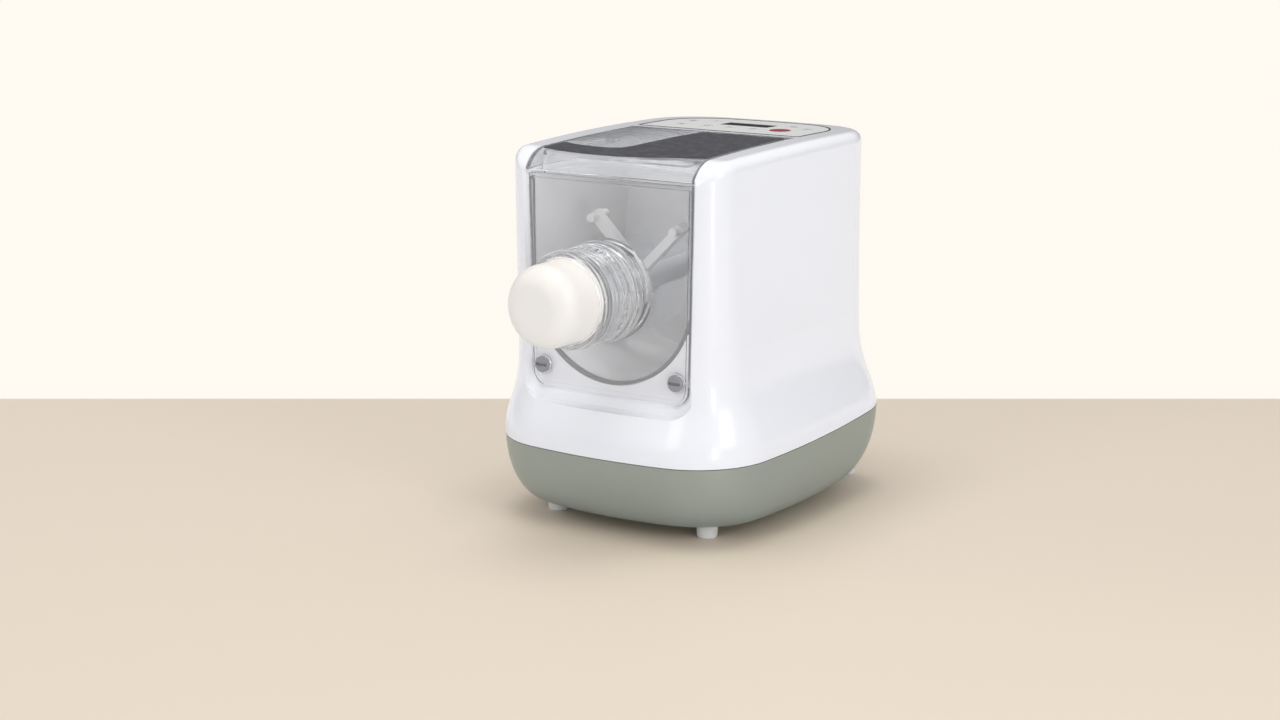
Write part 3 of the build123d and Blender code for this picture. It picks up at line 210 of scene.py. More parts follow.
def join(pieces):
    """Joins pieces into the first of them."""
    select_only(*pieces)
    bpy.ops.object.join()
    return pieces[0]


def copy_of(piece, name, offset=(0, 0, 0)):
    """A copy with its own mesh, moved in its mesh."""
    twin = piece.copy()
    twin.data = piece.data.copy()
    twin.name = twin.data.name = name
    bpy.context.scene.collection.objects.link(twin)
    edit(twin)
    bpy.ops.transform.translate(value=offset)
    bpy.ops.object.mode_set(mode="OBJECT")
    return twin


def corner(middle_radius, middle_depth, radius, start, end, count=6):
    """Points of an arc in a turned profile, angles in degrees from the radius towards the rear."""
    angles = [math.radians(start + (end - start) * i / count) for i in range(count + 1)]
    return [(middle_radius + radius * math.cos(a), middle_depth + radius * math.sin(a)) for a in angles]


def turned(name, profile, steps, x=0.0, height=AXIS, closed=True):
    """A piece turned round an axis along Y: rings of a circle, extruded and resized one by one.

    The profile lists (radius, depth behind the face) in millimetres. A radius of 0 ends in a pole."""
    (radius, depth), rest = profile[0], list(profile[1:])
    piece = primitive("circle", name, vertices=steps, radius=radius * MM, fill_type="NOTHING",
                      location=(x, FACE + depth * MM, height), rotation=(math.pi / 2, 0, 0))
    edit(piece)
    for new_radius, new_depth in rest + ([profile[0]] if closed else []):
        move((0, (new_depth - depth) * MM, 0))
        middle = (x, FACE + new_depth * MM, height)
        if new_radius == 0:
            bpy.ops.mesh.merge(type="CENTER")
        elif new_radius != radius:
            share = new_radius / radius
            bpy.ops.transform.resize(value=(share, 1, share), center_override=middle)
        radius, depth = new_radius or radius, new_depth
    if not closed and profile[0][0] and rest[-1][0] == 0:
        first = FACE + profile[0][1] * MM
        pick(piece, "VERT", lambda v: v.is_boundary and abs(v.co.y - first) < 1e-6)
        bpy.ops.mesh.edge_face_add()
    return close(piece)


def drawn(name, outline, along, round_corners=(), segments=8):
    """A plate or prism: an outline drawn point by point, corners rounded, and extruded along a vector.

    round_corners lists (test, radius): which corners of the outline get that radius."""
    piece = primitive("plane", name, size=0.001, location=outline[0])
    edit(piece)
    bpy.ops.mesh.merge(type="CENTER")
    for start, end in zip(outline, outline[1:]):
        move(Vector(end) - Vector(start))
    bpy.ops.mesh.select_all(action="SELECT")
    bpy.ops.mesh.edge_face_add()
    for test, radius in round_corners:
        pick(piece, "VERT", lambda v: test(v.co))
        bpy.ops.mesh.bevel(affect="VERTICES", offset=radius, segments=segments, offset_type="OFFSET")
    bpy.ops.mesh.select_mode(type="FACE")
    bpy.ops.mesh.select_all(action="SELECT")
    move(along)
    return close(piece)


def every_corner(co):
    return True


def rectangle(left, right, front, rear, height):
    """Corners of a level rectangle."""
    return [(left, front, height), (right, front, height), (right, rear, height), (left, rear, height)]


def bar(name, radius, start, end, steps=48):
    """A round bar between two points."""
    start, end = Vector(start), Vector(end)
    way = end - start
    turn = way.to_track_quat("Z", "Y").to_euler()
    return primitive("cylinder", name, vertices=steps, radius=radius, depth=way.length,
                     location=(start + end) / 2, rotation=turn)


def crown(y, under=0.0):
    """Height of the body's crowned top at y, or of a surface that lies this far under it."""
    radius = CROWN_RADIUS - under
    return TOP - CROWN_RADIUS + math.sqrt(radius ** 2 - (y - FACE - CROWN_DEPTH) ** 2)


def brow_profile(front, low, rear, inset=0.0, count=14):
    """Side view of the top's front end as points (y, z): up over the brow and back along the crown."""
    radius = BROW - inset
    middle_y = FACE - BROW_AHEAD + BROW
    middle_z = crown(middle_y, BROW)
    low_angle = math.pi - math.asin(max(-1, min(1, (low - middle_z) / radius)))
    lean = math.atan2(middle_z - TOP + CROWN_RADIUS, middle_y - FACE - CROWN_DEPTH)
    points = []
    for step in range(count + 1):
        angle = low_angle + (lean - low_angle) * step / count
        points.append((middle_y + radius * math.cos(angle), middle_z + radius * math.sin(angle)))
    start, parts = points[-1][0], 12
    for step in range(1, parts + 1):
        y = start + (rear - start) * step / parts
        points.append((y, crown(y, inset)))
    return points


# ------------------------------------------------------------------ finishes
def feed(tree, socket, value):
    """Sets an input to a value, or links another node's output to it."""
    if isinstance(value, bpy.types.NodeSocket):
        tree.links.new(value, socket)
    else:
        socket.default_value = value


def result_of(tree, operation, *values):
    """The result of a Math node for these values or outputs."""
    node = tree.nodes.new("ShaderNodeMath")
    node.operation = operation
    for socket, value in zip(node.inputs, values):
        feed(tree, socket, value)
    return node.outputs[0]


def mapped(tree, value, start, end, low=0.0, high=1.0, interpolation="LINEAR"):
    """A value mapped from start and end to low and high."""
    node = tree.nodes.new("ShaderNodeMapRange")
    node.interpolation_type = interpolation
    for socket, number in (("Value", value), ("From Min", start), ("From Max", end),
                           ("To Min", low), ("To Max", high)):
        feed(tree, node.inputs[socket], number)
    return node.outputs["Result"]


def blend(tree, share, first, second, kind="RGBA", way="MIX"):
    """Two colours or two numbers, mixed by a share."""
    node = tree.nodes.new("ShaderNodeMix")
    node.data_type, node.blend_type = kind, way
    for socket, value in (("Factor", share), ("A", first), ("B", second)):
        feed(tree, node.inputs[socket], value)
    return node.outputs["Result"]


def clouds(tree, scale, detail, roughness=0.5):
    """Noise that lies on the piece itself."""
    place = tree.nodes.new("ShaderNodeTexCoord")
    noise = tree.nodes.new("ShaderNodeTexNoise")
    for socket, value in (("Vector", place.outputs["Object"]), ("Scale", scale), ("Detail", detail),
                          ("Roughness", roughness)):
        feed(tree, noise.inputs[socket], value)
    return noise.outputs["Fac"]


def mix_shaders(tree, share, first, second):
    """Two shaders, mixed by a share, as the material's surface."""
    mixed = tree.nodes.new("ShaderNodeMixShader")
    for socket, value in zip(mixed.inputs, (share, first.outputs[0], second.outputs[0])):
        feed(tree, socket, value)
    feed(tree, tree.nodes["Material Output"].inputs["Surface"], mixed.outputs[0])


def new_material(name, color=(0.8, 0.8, 0.8), alpha=1.0):
    material = bpy.data.materials.new(name)
    material.use_nodes = True
    material.diffuse_color = (*color, alpha)
    return material, material.node_tree, material.node_tree.nodes["Principled BSDF"]


def moulded_group():
    """Shared surface of moulded plastic: faint mottling of colour and gloss, and a fine relief."""
    tree = bpy.data.node_groups.get("moulded_surface")
    if tree:
        return tree
    tree = bpy.data.node_groups.new("moulded_surface", "ShaderNodeTree")
    for name, kind, value in (
        ("Color", "NodeSocketColor", (0.8, 0.8, 0.8, 1)), ("Roughness", "NodeSocketFloat", 0.35),
        ("Mottle", "NodeSocketFloat", 0.3), ("Grain Scale", "NodeSocketFloat", 1800.0),
        ("Relief", "NodeSocketFloat", 0.1),
    ):
        socket = tree.interface.new_socket(name, in_out="INPUT", socket_type=kind)
        socket.default_value = value
    for name, kind in (("Color", "NodeSocketColor"), ("Roughness", "NodeSocketFloat"),
                       ("Normal", "NodeSocketVector")):
        tree.interface.new_socket(name, in_out="OUTPUT", socket_type=kind)
    inputs = tree.nodes.new("NodeGroupInput").outputs
    outputs = tree.nodes.new("NodeGroupOutput").inputs

    share = result_of(tree, "MULTIPLY", clouds(tree, 14, 3), inputs["Mottle"])
    shade = blend(tree, share, inputs["Color"], (0.9, 0.9, 0.905, 1), way="MULTIPLY")
    feed(tree, outputs["Color"], shade)
    feed(tree, outputs["Roughness"], result_of(tree, "MULTIPLY_ADD", share, 0.16, inputs["Roughness"]))
    bump = tree.nodes.new("ShaderNodeBump")
    for socket, value in (("Distance", 0.0001), ("Height", clouds(tree, inputs["Grain Scale"], 2)),
                          ("Strength", inputs["Relief"])):
        feed(tree, bump.inputs[socket], value)
    feed(tree, outputs["Normal"], bump.outputs["Normal"])
    return tree


def shared_surface(tree, shader, outputs, **values):
    """Puts the shared surface in front of a shader and links these of its outputs."""
    surface = tree.nodes.new("ShaderNodeGroup")
    surface.node_tree = moulded_group()
    for name, value in values.items():
        feed(tree, surface.inputs[name.replace("_", " ")], value)
    for output, socket in outputs:
        feed(tree, shader.inputs[socket], surface.outputs[output])


def moulded(name, color, roughness=0.35, mottle=0.3, grain=1800.0, relief=0.1, **sockets):
    """Moulded plastic, rubber or cast metal: the shared surface feeding one Principled shader.

    Further sockets of the shader are given by name, with _ for a space."""
    material, tree, shader = new_material(name, color)
    shared_surface(tree, shader,
                   (("Color", "Base Color"), ("Roughness", "Roughness"), ("Normal", "Normal")),
                   Color=(*color, 1), Roughness=roughness, Mottle=mottle, Grain_Scale=grain,
                   Relief=relief)
    for socket, value in sockets.items():
        feed(tree, shader.inputs[socket.replace("_", " ")], value)
    return material


def let_light_through(tree, shader, share):
    """Lets a share of the lamps' and the room's light pass a clear piece to what is behind it."""
    path = tree.nodes.new("ShaderNodeLightPath").outputs
    lit = result_of(tree, "MAXIMUM", path["Is Shadow Ray"], path["Is Diffuse Ray"])
    through = tree.nodes.new("ShaderNodeBsdfTransparent")
    feed(tree, through.inputs["Color"], (*share, 1))
    mix_shaders(tree, lit, shader, through)


def clear(name, tint, roughness=0.0, transmission=0.92):
    """Clear moulded plastic, with the faint cast that the rest of its light gives it."""
    material, tree, shader = new_material(name, tint, 0.4)
    for socket, value in (("Base Color", (*tint, 1)), ("Roughness", roughness), ("IOR", 1.49),
                          ("Transmission Weight", transmission)):
        feed(tree, shader.inputs[socket], value)
    shared_surface(tree, shader, (("Normal", "Normal"),), Grain_Scale=60, Relief=0.004)
    let_light_through(tree, shader, [0.74 + 0.25 * c for c in tint])
    return material


def film_with_painted_shade(name, color):
    """Smoked film: dark and satin, its near-black colour painted shade of the chamber seen through the
    lid's top, with paler dust clouded over it.
    """
    material = moulded(name, color, roughness=0.4, mottle=0.5, grain=240, relief=0.2,
                       Specular_IOR_Level=0.12)
    tree = material.node_tree
    surface = next(node for node in tree.nodes if node.type == "GROUP")
    dust = mapped(tree, clouds(tree, 130, 8, 0.7), 0.48, 0.72, high=0.5)
    feed(tree, surface.inputs["Color"], blend(tree, dust, (*color, 1), (0.17, 0.17, 0.18, 1)))
    let_light_through(tree, tree.nodes["Principled BSDF"], (0.6, 0.6, 0.62))
    return material


def floor_sheet(stage, ahead):
    """Plain floor: a pale table colour up to a line behind the machine, and a near-white one beyond."""
    material, tree, shader = new_material("floor_sheet")
    place = tree.nodes.new("ShaderNodeTexCoord")
    reach = tree.nodes.new("ShaderNodeVectorMath")
    reach.operation = "DOT_PRODUCT"
    feed(tree, reach.inputs[0], place.outputs["Object"])
    feed(tree, reach.inputs[1], ahead)
    beyond = mapped(tree, reach.outputs["Value"], stage.table_edge - 0.003, stage.table_edge + 0.003)
    shade = blend(tree, beyond, (*stage.floor_color, 1), (*stage.backdrop_color, 1))
    path = tree.nodes.new("ShaderNodeLightPath").outputs
    # the light that the floor throws on the machine is neutral
    feed(tree, shader.inputs["Base Color"],
         blend(tree, path["Is Diffuse Ray"], shade, (0.80, 0.80, 0.82, 1)))
    feed(tree, shader.inputs["Roughness"], 0.55)
    # the backdrop shows as it is written, seen straight, mirrored or through clear pieces
    direct = result_of(tree, "MAXIMUM", path["Is Camera Ray"], path["Is Transmission Ray"])
    seen = result_of(tree, "MAXIMUM", direct, path["Is Glossy Ray"])
    glow = tree.nodes.new("ShaderNodeEmission")
    feed(tree, glow.inputs["Color"], (*stage.backdrop_color, 1))
    mix_shaders(tree, result_of(tree, "MULTIPLY", seen, beyond), shader, glow)
    return material


def studio_world(stage):
    """Even light from all round; glossy surfaces see a room that darkens towards the horizon."""
    world = bpy.data.worlds.new("studio")
    world.use_nodes = True
    tree = world.node_tree
    background = tree.nodes["Background"]
    split = tree.nodes.new("ShaderNodeSeparateXYZ")
    feed(tree, split.inputs[0], tree.nodes.new("ShaderNodeTexCoord").outputs["Generated"])
    room = mapped(tree, split.outputs["Z"], 0.12, 0.6, 0.1, 0.95, "SMOOTHSTEP")
    path = tree.nodes.new("ShaderNodeLightPath").outputs
    lit = blend(tree, path["Is Glossy Ray"], stage.world_light, room, kind="FLOAT")
    seen = result_of(tree, "MAXIMUM", path["Is Camera Ray"], path["Is Transmission Ray"])
    feed(tree, background.inputs["Color"], (0.985, 0.988, 1.0, 1))
    feed(tree, background.inputs["Strength"], blend(tree, seen, lit, 1.0, kind="FLOAT"))
    return world


def dress(nodes, material):
    """Gives nodes of the frame a finish."""
    for name in nodes:
        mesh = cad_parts[name].data
        mesh.materials.clear()
        mesh.materials.append(material)


def wear(piece, material, body):
    """Gives a new piece its finish and its body."""
    piece.data.materials.clear()
    piece.data.materials.append(material)
    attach(piece, body)
    return piece


def finish_named(name, make, *values, **sockets):
    """The finish of that name, made once."""
    return bpy.data.materials.get(name) or make(name, *values, **sockets)


def clear_plastic():
    return finish_named("clear_acrylic", clear, bpy.context.scene.pasta_body.clear_tint)


def dark_seal():
    return finish_named("dark_seal", moulded, (0.15, 0.15, 0.17), 0.5, mottle=0.3, relief=0.15)


def ferrite():
    return finish_named("ferrite", moulded, (0.05, 0.05, 0.055), 0.45, mottle=0.3, Metallic=0.6)


# ------------------------------------------------------------------ operators
class PASTA_OT_body(bpy.types.Operator):
    """Housing, tub and feet"""
    bl_idname = "pasta.body"
    bl_label = "Body"

    def execute(self, context):
        body = context.scene.pasta_body
        dress(["upper_housing"], moulded(
            "housing_white", body.housing_color, 0.25, mottle=0.08, grain=900, relief=0.02,
            Coat_Weight=0.3, Coat_Roughness=0.06))
        dress(["base_tub"], moulded(
            "tub_green", body.tub_color, 0.36, mottle=0.12, grain=2200, relief=0.05,
            Metallic=0.6, Coat_Weight=0.1, Coat_Roughness=0.2))
        dress(["feet"], moulded("foot_silicone", (0.75, 0.74, 0.72), 0.22, mottle=0.3, relief=0.05))
        return {"FINISHED"}


class PASTA_OT_panel(bpy.types.Operator):
    """Clear front panel with its collar, thread sleeve and screw barrel, and the two posts"""
    bl_idname = "pasta.panel"
    bl_label = "Front panel"

    def execute(self, context):
        steps = context.scene.pasta_nozzle.steps
        front, back = FACE + 4 * MM, FACE + 7.8 * MM

        def outline(inset, y, top):
            half_top, half_foot, foot = 75.5 - inset, 72.0 - inset, 110.0 + inset
            return [(-half_foot * MM, y, foot * MM), (half_foot * MM, y, foot * MM),
                    (half_top * MM, y, top * MM), (-half_top * MM, y, top * MM)]

        def foot_corner(co):
            return co.z < 0.15

        panel = drawn("clear_panel", outline(0, back, 278.5), (0, front - back, 0),
                      [(foot_corner, 12 * MM)])
        rounded(panel, 0.9 * MM)
        rim = drawn("rim", outline(2, FACE + 5 * MM, 275.5), (0, -1.9 * MM, 0),
                    [(foot_corner, 10 * MM)])
        inner = drawn("inner", outline(4, FACE + 6 * MM, 273.5), (0, -4 * MM, 0),
                      [(foot_corner, 8 * MM)])
        combine(rim, inner)
        rounded(rim, 0.4 * MM, 2)
        combine(panel, rim, "UNION")
        combine(panel, bar("bore", 21.8 * MM, (0, FACE + 2 * MM, AXIS), (0, FACE + 9 * MM, AXIS), 96))
        thread = []
        for ridge in range(7):
            depth = -12.5 - 5 * ridge
            thread += [(32.6, depth), (33.6, depth - 1.1), (33.6, depth - 2.2), (32.6, depth - 3.3)]
        nozzle = turned("nozzle", [
            (20.4, 13.8), (23.0, 13.8), (23.0, 5.6), (39.4, 5.6), (39.9, 5.0),
            *corner(37.4, -6.4, 2.5, 0, -90), (34.6, -9.0), (33.4, -10.2), *thread,
            (32.9, -46.6), (32.4, -47.2), (31.0, -47.2), (30.6, -46.8), (30.6, -1.0), (29.6, 0),
            (24.0, 0), (23.0, -1.0), (23.0, -46.8), (22.6, -47.2), (20.8, -47.2), (20.4, -46.8),
        ], steps)
        combine(panel, nozzle, "UNION")
        for side in (-1, 1):
            x = side * POST_SIDE
            boss = turned("boss", [
                (6.65, 5.2), (6.65, 2.7), (6.95, 2.4), (7.7, 2.4), (8.2, 2.9), (8.2, 5.2),
            ], 64, x, POST_HEIGHT)
            hole = bar("hole", 4.6 * MM, (x, FACE, POST_HEIGHT), (x, FACE + 0.009, POST_HEIGHT), 64)
            combine(panel, hole)
            combine(panel, boss, "UNION")
        smooth(panel)
        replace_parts(wear(panel, clear_plastic(), "front_panel"), "front_panel")

        grey = moulded("post_grey", (0.30, 0.305, 0.32), 0.3, mottle=0.3, relief=0.08,
                       Coat_Weight=0.3)
        for side, word in ((-1, "left"), (1, "right")):
            x = side * POST_SIDE
            post = turned(f"turn_post_{word}", [
                (4.5, 7.7), (4.5, 4.0), (6.2, 4.0), (6.6, 3.6), *corner(5.4, 1.6, 1.2, 0, -90, 5),
                (3.0, 0.3), (0, 0.3),
            ], 64, x, POST_HEIGHT, closed=False)
            slot = drawn("slot", [
                (x + across * 5.2 * MM, FACE - 0.001, POST_HEIGHT + up * 1.2 * MM)
                for across, up in ((-1, -1), (1, -1), (1, 1), (-1, 1))
            ], (0, 0.0032, 0), [(every_corner, 1.15 * MM)], 5)
            combine(post, slot)
            smooth(rounded(post, 0.15 * MM, 2))
            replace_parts(wear(post, grey, f"panel_post_{word}"), f"panel_post_{word}")
        return {"FINISHED"}


class PASTA_OT_nozzle(bpy.types.Operator):
    """Retaining ring and die"""
    bl_idname = "pasta.nozzle"
    bl_label = "Ring and die"

    def execute(self, context):
        body, nozzle = context.scene.pasta_body, context.scene.pasta_nozzle
        steps = nozzle.steps
        ribs = []
        for rib in range(3):
            depth = -40.0 + 4.4 * rib
            ribs += [(36.6, depth - 1.0), (37.2, depth - 0.7), (37.2, depth + 0.1), (36.6, depth + 0.4)]
        ring = turned("clamp_ring", [
            (33.65, -11), (36.8, -11), (37.4, -11.4), (38.1, -12.2), (38.1, -15.6), (37.5, -16.3),
            (36.6, -16.6), (36.6, -18.6), (37.6, -19.2), (38.1, -20.2), (38.1, -22.6), (37.5, -23.4),
            (36.6, -23.8), (36.6, -28.8), *ribs[::-1], (36.6, -43.8), (38.1, -44.6), (38.1, -47.0),
            (37.2, -47.8), (36.9, -49.6), (38.0, -50.4), (38.0, -51.6), (37.1, -52.4), (37.0, -53.6),
            *corner(34.6, -53.6, 2.4, 0, -90, 6), (33.3, -56.0),
            *corner(33.1, -55.0, 1.0, -90, -180, 4), (32.1, -52.9), (32.6, -52.4), (33.4, -52.4),
            (33.65, -52.1),
        ], steps)
        # short raised grips along one side of the rear band
        edit(ring, "FACE")

        def on_grip(face):
            middle = face.calc_center_median()
            depth = middle.y - FACE
            reach = math.hypot(middle.x, middle.z - AXIS)
            if reach < 36.3 * MM or not -28.8 * MM < depth < -23.8 * MM:
                return False
            turn = math.atan2(middle.x, middle.z - AXIS) / (2 * math.pi) * steps
            return round(turn) % 4 < 2

        pick(ring, "FACE", on_grip)
        move((0, 0, 0))
        share = 37.6 / 36.6
        bpy.ops.transform.resize(value=(share, 1, share), center_override=(0, 0, AXIS))
        close(ring)
        smooth(ring)
        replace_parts(wear(ring, clear_plastic(), "ring"), "retaining_ring")

        nose = nozzle.nose_radius / MM
        die = turned("cream_die", [
            (25.7, -48.0), (32.9, -48.0), (33.3, -48.4), (33.3, -51.6), (32.9, -52.0), (32.0, -52.0),
            (31.7, -52.4), *corner(31.7 - nose, -94 + nose, nose, 0, -90, 20), (8.0, -94.0),
            (0, -94.0)], steps, closed=False)
        hollow = turned("hollow", [
            (25.7, -46.0), (25.7, -75.0), *corner(14.7, -75.0, 11.0, 0, -90, 8), (0, -86.0)],
            steps, closed=False)
        combine(die, hollow)
        outlet = bar("outlet", nozzle.outlet_radius, (-12.8 * MM, FACE - 78 * MM, AXIS - 0.034),
                     (-12.8 * MM, FACE - 78 * MM, AXIS - 0.008), 20)
        outlets = [copy_of(outlet, "outlet", (6.4 * MM * column, 6.4 * MM * row, 0))
                   for row in range(4) for column in range(5) if row or column]
        combine(die, join([outlet] + outlets))
        smooth(die, 40)
        cream = moulded("cream_plastic", body.die_color, 0.36, mottle=0.2, grain=1500, relief=0.07,
                        Subsurface_Weight=0.12, Subsurface_Scale=0.004)
        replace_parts(wear(die, cream, "die"), "pasta_die")
        dress(["die_seal"], dark_seal())
        return {"FINISHED"}


class PASTA_OT_lid(bpy.types.Operator):
    """Clear lid with its smoked film of painted shade, its hinge knuckle and its pouring slots"""
    bl_idname = "pasta.lid"
    bl_label = "Lid"

    def execute(self, context):
        body = context.scene.pasta_body
        low, rear, half = 0.2806, FACE + 0.153, 77 * MM

        def prism(name, half_width, inset, bottom, back):
            side = brow_profile(FACE, max(bottom, low), back, inset)
            if bottom < low:
                side = [(side[0][0], bottom)] + side
            side.append((back, bottom))
            return drawn(name, [(-half_width, y, z) for y, z in side], (2 * half_width, 0, 0))

        lid = prism("clear_lid", half, 0, low, rear)
        rounded(lid, 1.0 * MM, 3, 50)
        combine(lid, prism("hollow", half - 3 * MM, 3 * MM, low - 2 * MM, rear - 3 * MM))
        # lip that closes the bowl
        lip = drawn("lip", rectangle(-0.070, 0.070, FACE + 0.014, FACE + 0.130, low - 3.4 * MM),
                    (0, 0, 15.6 * MM), [(every_corner, 6 * MM)])
        void = drawn("void", rectangle(-0.068, 0.068, FACE + 0.016, FACE + 0.128, low - 5 * MM),
                     (0, 0, 30 * MM), [(every_corner, 4.5 * MM)])
        combine(lip, void)
        combine(lid, lip, "UNION")
        # knuckle along the rear edge, with the bore of the hinge pins
        knuckle = 4 * MM
        pin_y, pin_z = rear, crown(rear) - knuckle
        combine(lid, bar("knuckle", knuckle, (-half, pin_y, pin_z), (half, pin_y, pin_z), 40), "UNION")
        reach = half + 0.001
        combine(lid, bar("bore", 1.55 * MM, (-reach, pin_y, pin_z), (reach, pin_y, pin_z), 32))
        for column in (-51, -45, -39):
            x = column * MM
            combine(lid, drawn(
                "slot", rectangle(x - 1.2 * MM, x + 1.2 * MM, FACE + 0.043, FACE + 0.077, 0.290),
                (0, 0, 0.02), [(every_corner, 1.15 * MM)], 5))
        # smoked film, let into the top beside the clear pouring window; its near-black colour is
        # painted shade of the chamber seen through the lid
        path = [(73, 148), (73, 27), (55, 23), (28, 19), (0, 16.5), (-34, 16.5), (-58, 18),
                (-73, 21), (-73, 50), (-60, 44), (-40, 40), (-24, 40), (-15, 45), (-11.5, 55),
                (-11, 70), (-8, 120), (-5, 148)]

        def on_top(name, shallow, deep):
            """The film's outline, between two depths under the lid's top."""
            outer = brow_profile(FACE, 0.2905, FACE + 0.149, shallow)
            inner = brow_profile(FACE, 0.2905, FACE + 0.149, deep)
            sheet = drawn("sheet", [(-half, y, z) for y, z in outer + inner[::-1]], (2 * half, 0, 0))
            film = drawn(name, [(x * MM, FACE + y * MM, 0.28) for x, y in path], (0, 0, 0.03))
            return combine(film, sheet, "INTERSECT")

        film = on_top("painted_shade_film", 0.05 * MM, 0.4 * MM)
        combine(lid, on_top("pocket", -1 * MM, 0.42 * MM))
        smooth(lid)
        smooth(film)
        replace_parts(wear(lid, clear_plastic(), "lid"), "lid")
        wear(film, film_with_painted_shade("painted_shade_film", body.smoke_color), "lid")
        dress(["lid_magnet"], ferrite())
        return {"FINISHED"}


class PASTA_OT_chamber(bpy.types.Operator):
    """Liner, bowl, seals and mixing rod"""
    bl_idname = "pasta.chamber"
    bl_label = "Chamber"

    def execute(self, context):
        dress(["mixing_bowl"], clear("bowl_frost", (0.96, 0.96, 0.97), 0.2, transmission=0.5))
        dress(["chamber_liner"], moulded(
            "liner_plastic", (0.90, 0.90, 0.93), 0.3, mottle=0.1, relief=0.04))
        dress(["mixing_rod"], moulded(
            "screw_plastic", (0.80, 0.80, 0.80), 0.35, mottle=0.2, relief=0.06))
        dress(["bowl_seal", "shaft_seal"], dark_seal())
        return {"FINISHED"}


class PASTA_OT_controls(bpy.types.Operator):
    """Control plate, keys with their marks, and display"""
    bl_idname = "pasta.controls"
    bl_label = "Controls"

    def execute(self, context):
        body = context.scene.pasta_body
        dress(["control_plate"], moulded(
            "plate_plastic", (0.76, 0.76, 0.74), 0.35, mottle=0.1, relief=0.05))
        # the near-black trim round the control plate is painted shade, a dark band standing in for the
        # shadow line in the gap round the plate
        dress(["control_trim"], moulded(
            "trim_plastic", (0.03, 0.026, 0.026), 0.35, relief=0.05, Specular_IOR_Level=0.2))
        dress(["display_window"], moulded("display_black", (0.003, 0.003, 0.004), 0.12, mottle=0.1,
                                          relief=0.01, Specular_IOR_Level=0.15))
        keys = moulded("key_plastic", (0.74, 0.74, 0.72), 0.36, mottle=0.15, relief=0.06)
        dress([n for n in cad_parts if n.startswith("key_") and n != "key_switches"], keys)
        dress(["start_key"], moulded("red_plastic", body.start_color, 0.22, mottle=0.15, relief=0.03,
                                     Coat_Weight=0.6, Coat_Roughness=0.05))
        ink = moulded("mark_ink", (0.12, 0.12, 0.125), 0.5, mottle=0.2, relief=0.05)

        def ring_mark(name, outer, inner):
            disc = primitive("cylinder", name, vertices=32, radius=outer * MM, depth=0.1 * MM)
            hole = primitive("cylinder", "cut", vertices=32, radius=inner * MM, depth=1 * MM)
            return combine(disc, hole)

        def bar_mark(name, width, length, count=1, pitch=1.5):
            marks = []
            for index in range(count):
                y = (index - (count - 1) / 2) * pitch
                front, rear = (y - length / 2) * MM, (y + length / 2) * MM
                marks.append(drawn(
                    name, rectangle(-width / 2 * MM, width / 2 * MM, front, rear, -0.05 * MM),
                    (0, 0, 0.1 * MM), [(every_corner, 0.24 * MM)], 3))
            return join(marks) if count > 1 else marks[0]

        marks = {
            "key_program": (-50, 186, lambda n: bar_mark(n, 5.0, 0.6, 3)),
            "key_shape": (-25, 186, lambda n: ring_mark(n, 2.6, 2.0)),
            "key_water": (-3, 186, lambda n: bar_mark(n, 4.6, 1.3)),
            "key_weight": (19, 186, lambda n: bar_mark(n, 4.8, 0.7, 2, 1.8)),
            "key_mixing": (-55, 212, lambda n: join([ring_mark(n, 2.8, 2.2), ring_mark(n, 1.2, 0.5)])),
            "key_extrude": (-38, 222, lambda n: bar_mark(n, 0.7, 4.6)),
            "key_menu": (38, 219, lambda n: ring_mark(n, 2.6, 1.9)),
            "key_power": (57, 209, lambda n: join([ring_mark(n, 2.7, 2.1), bar_mark(n, 0.6, 2.2)])),
        }
        for key, (x, depth, make) in marks.items():
            mark = make(key + "_mark")
            mark.name = mark.data.name = key + "_mark"
            y = FACE + depth * MM
            slope = -math.atan2(y - FACE - CROWN_DEPTH, CROWN_RADIUS)
            edit(mark)
            bpy.ops.transform.translate(value=(x * MM, y, crown(y) + 0.31 * MM))
            for vertex in bmesh.from_edit_mesh(mark.data).verts:
                vertex.co.z += (vertex.co.y - y) * math.tan(slope)
            bmesh.update_edit_mesh(mark.data)
            bpy.ops.object.mode_set(mode="OBJECT")
            wear(mark, ink, key)
        return {"FINISHED"}


class PASTA_OT_works(bpy.types.Operator):
    """Gears, motor, boards and fasteners"""
    bl_idname = "pasta.works"
    bl_label = "Works"

    def execute(self, context):
        steel = moulded("steel", (0.55, 0.56, 0.58), 0.28, mottle=0.4, grain=2400, relief=0.05,
                        Metallic=1.0)
        dark = moulded("case_plastic", (0.05, 0.053, 0.058), 0.45, mottle=0.4, relief=0.2)
        ivory = moulded("gear_plastic", (0.78, 0.76, 0.68), 0.38, mottle=0.3, relief=0.08)
        brass = moulded("brass", (0.68, 0.48, 0.2), 0.28, mottle=0.5, relief=0.05, Metallic=1.0)
        copper = moulded("copper", (0.6, 0.25, 0.12), 0.3, mottle=0.6, grain=900, relief=0.6,
                         Metallic=1.0)
        zinc = moulded("zinc", (0.4, 0.41, 0.43), 0.35, mottle=0.5, relief=0.1, Metallic=1.0)
        board = moulded("board_green", (0.015, 0.09, 0.035), 0.4, mottle=0.5, grain=700, relief=0.1)
        black = moulded("electronics", (0.02, 0.02, 0.024), 0.4, mottle=0.3, relief=0.1)
        wire = moulded("wire", (0.12, 0.01, 0.01), 0.5, mottle=0.3, relief=0.1)
        dress(["output_shaft", "idler_shaft", "output_bearings", "motor_can", "motor_shaft",
               "lid_hinge_pins", "board_screws", "liner_screws", "pan_head_screws", "motor_screws",
               "base_screws"], steel)
        dress(["output_gear", "idler_gear"], ivory)
        dress(["motor_pinion", "idler_bushes", "motor_bushes", "inlet_pins"], brass)
        dress(["gear_case", "gear_cover", "cooling_fan"], dark)
        dress(["motor_end_cap"], zinc)
        dress(["motor_magnets", "rotor_core"], ferrite())
        dress(["rotor_windings"], copper)
        dress(["control_board", "power_board"], board)
        dress(["lid_switch", "display_module", "key_switches", "inlet_socket",
               "power_board_parts"], black)
        dress(["ribbon_cable"], wire)
        return {"FINISHED"}


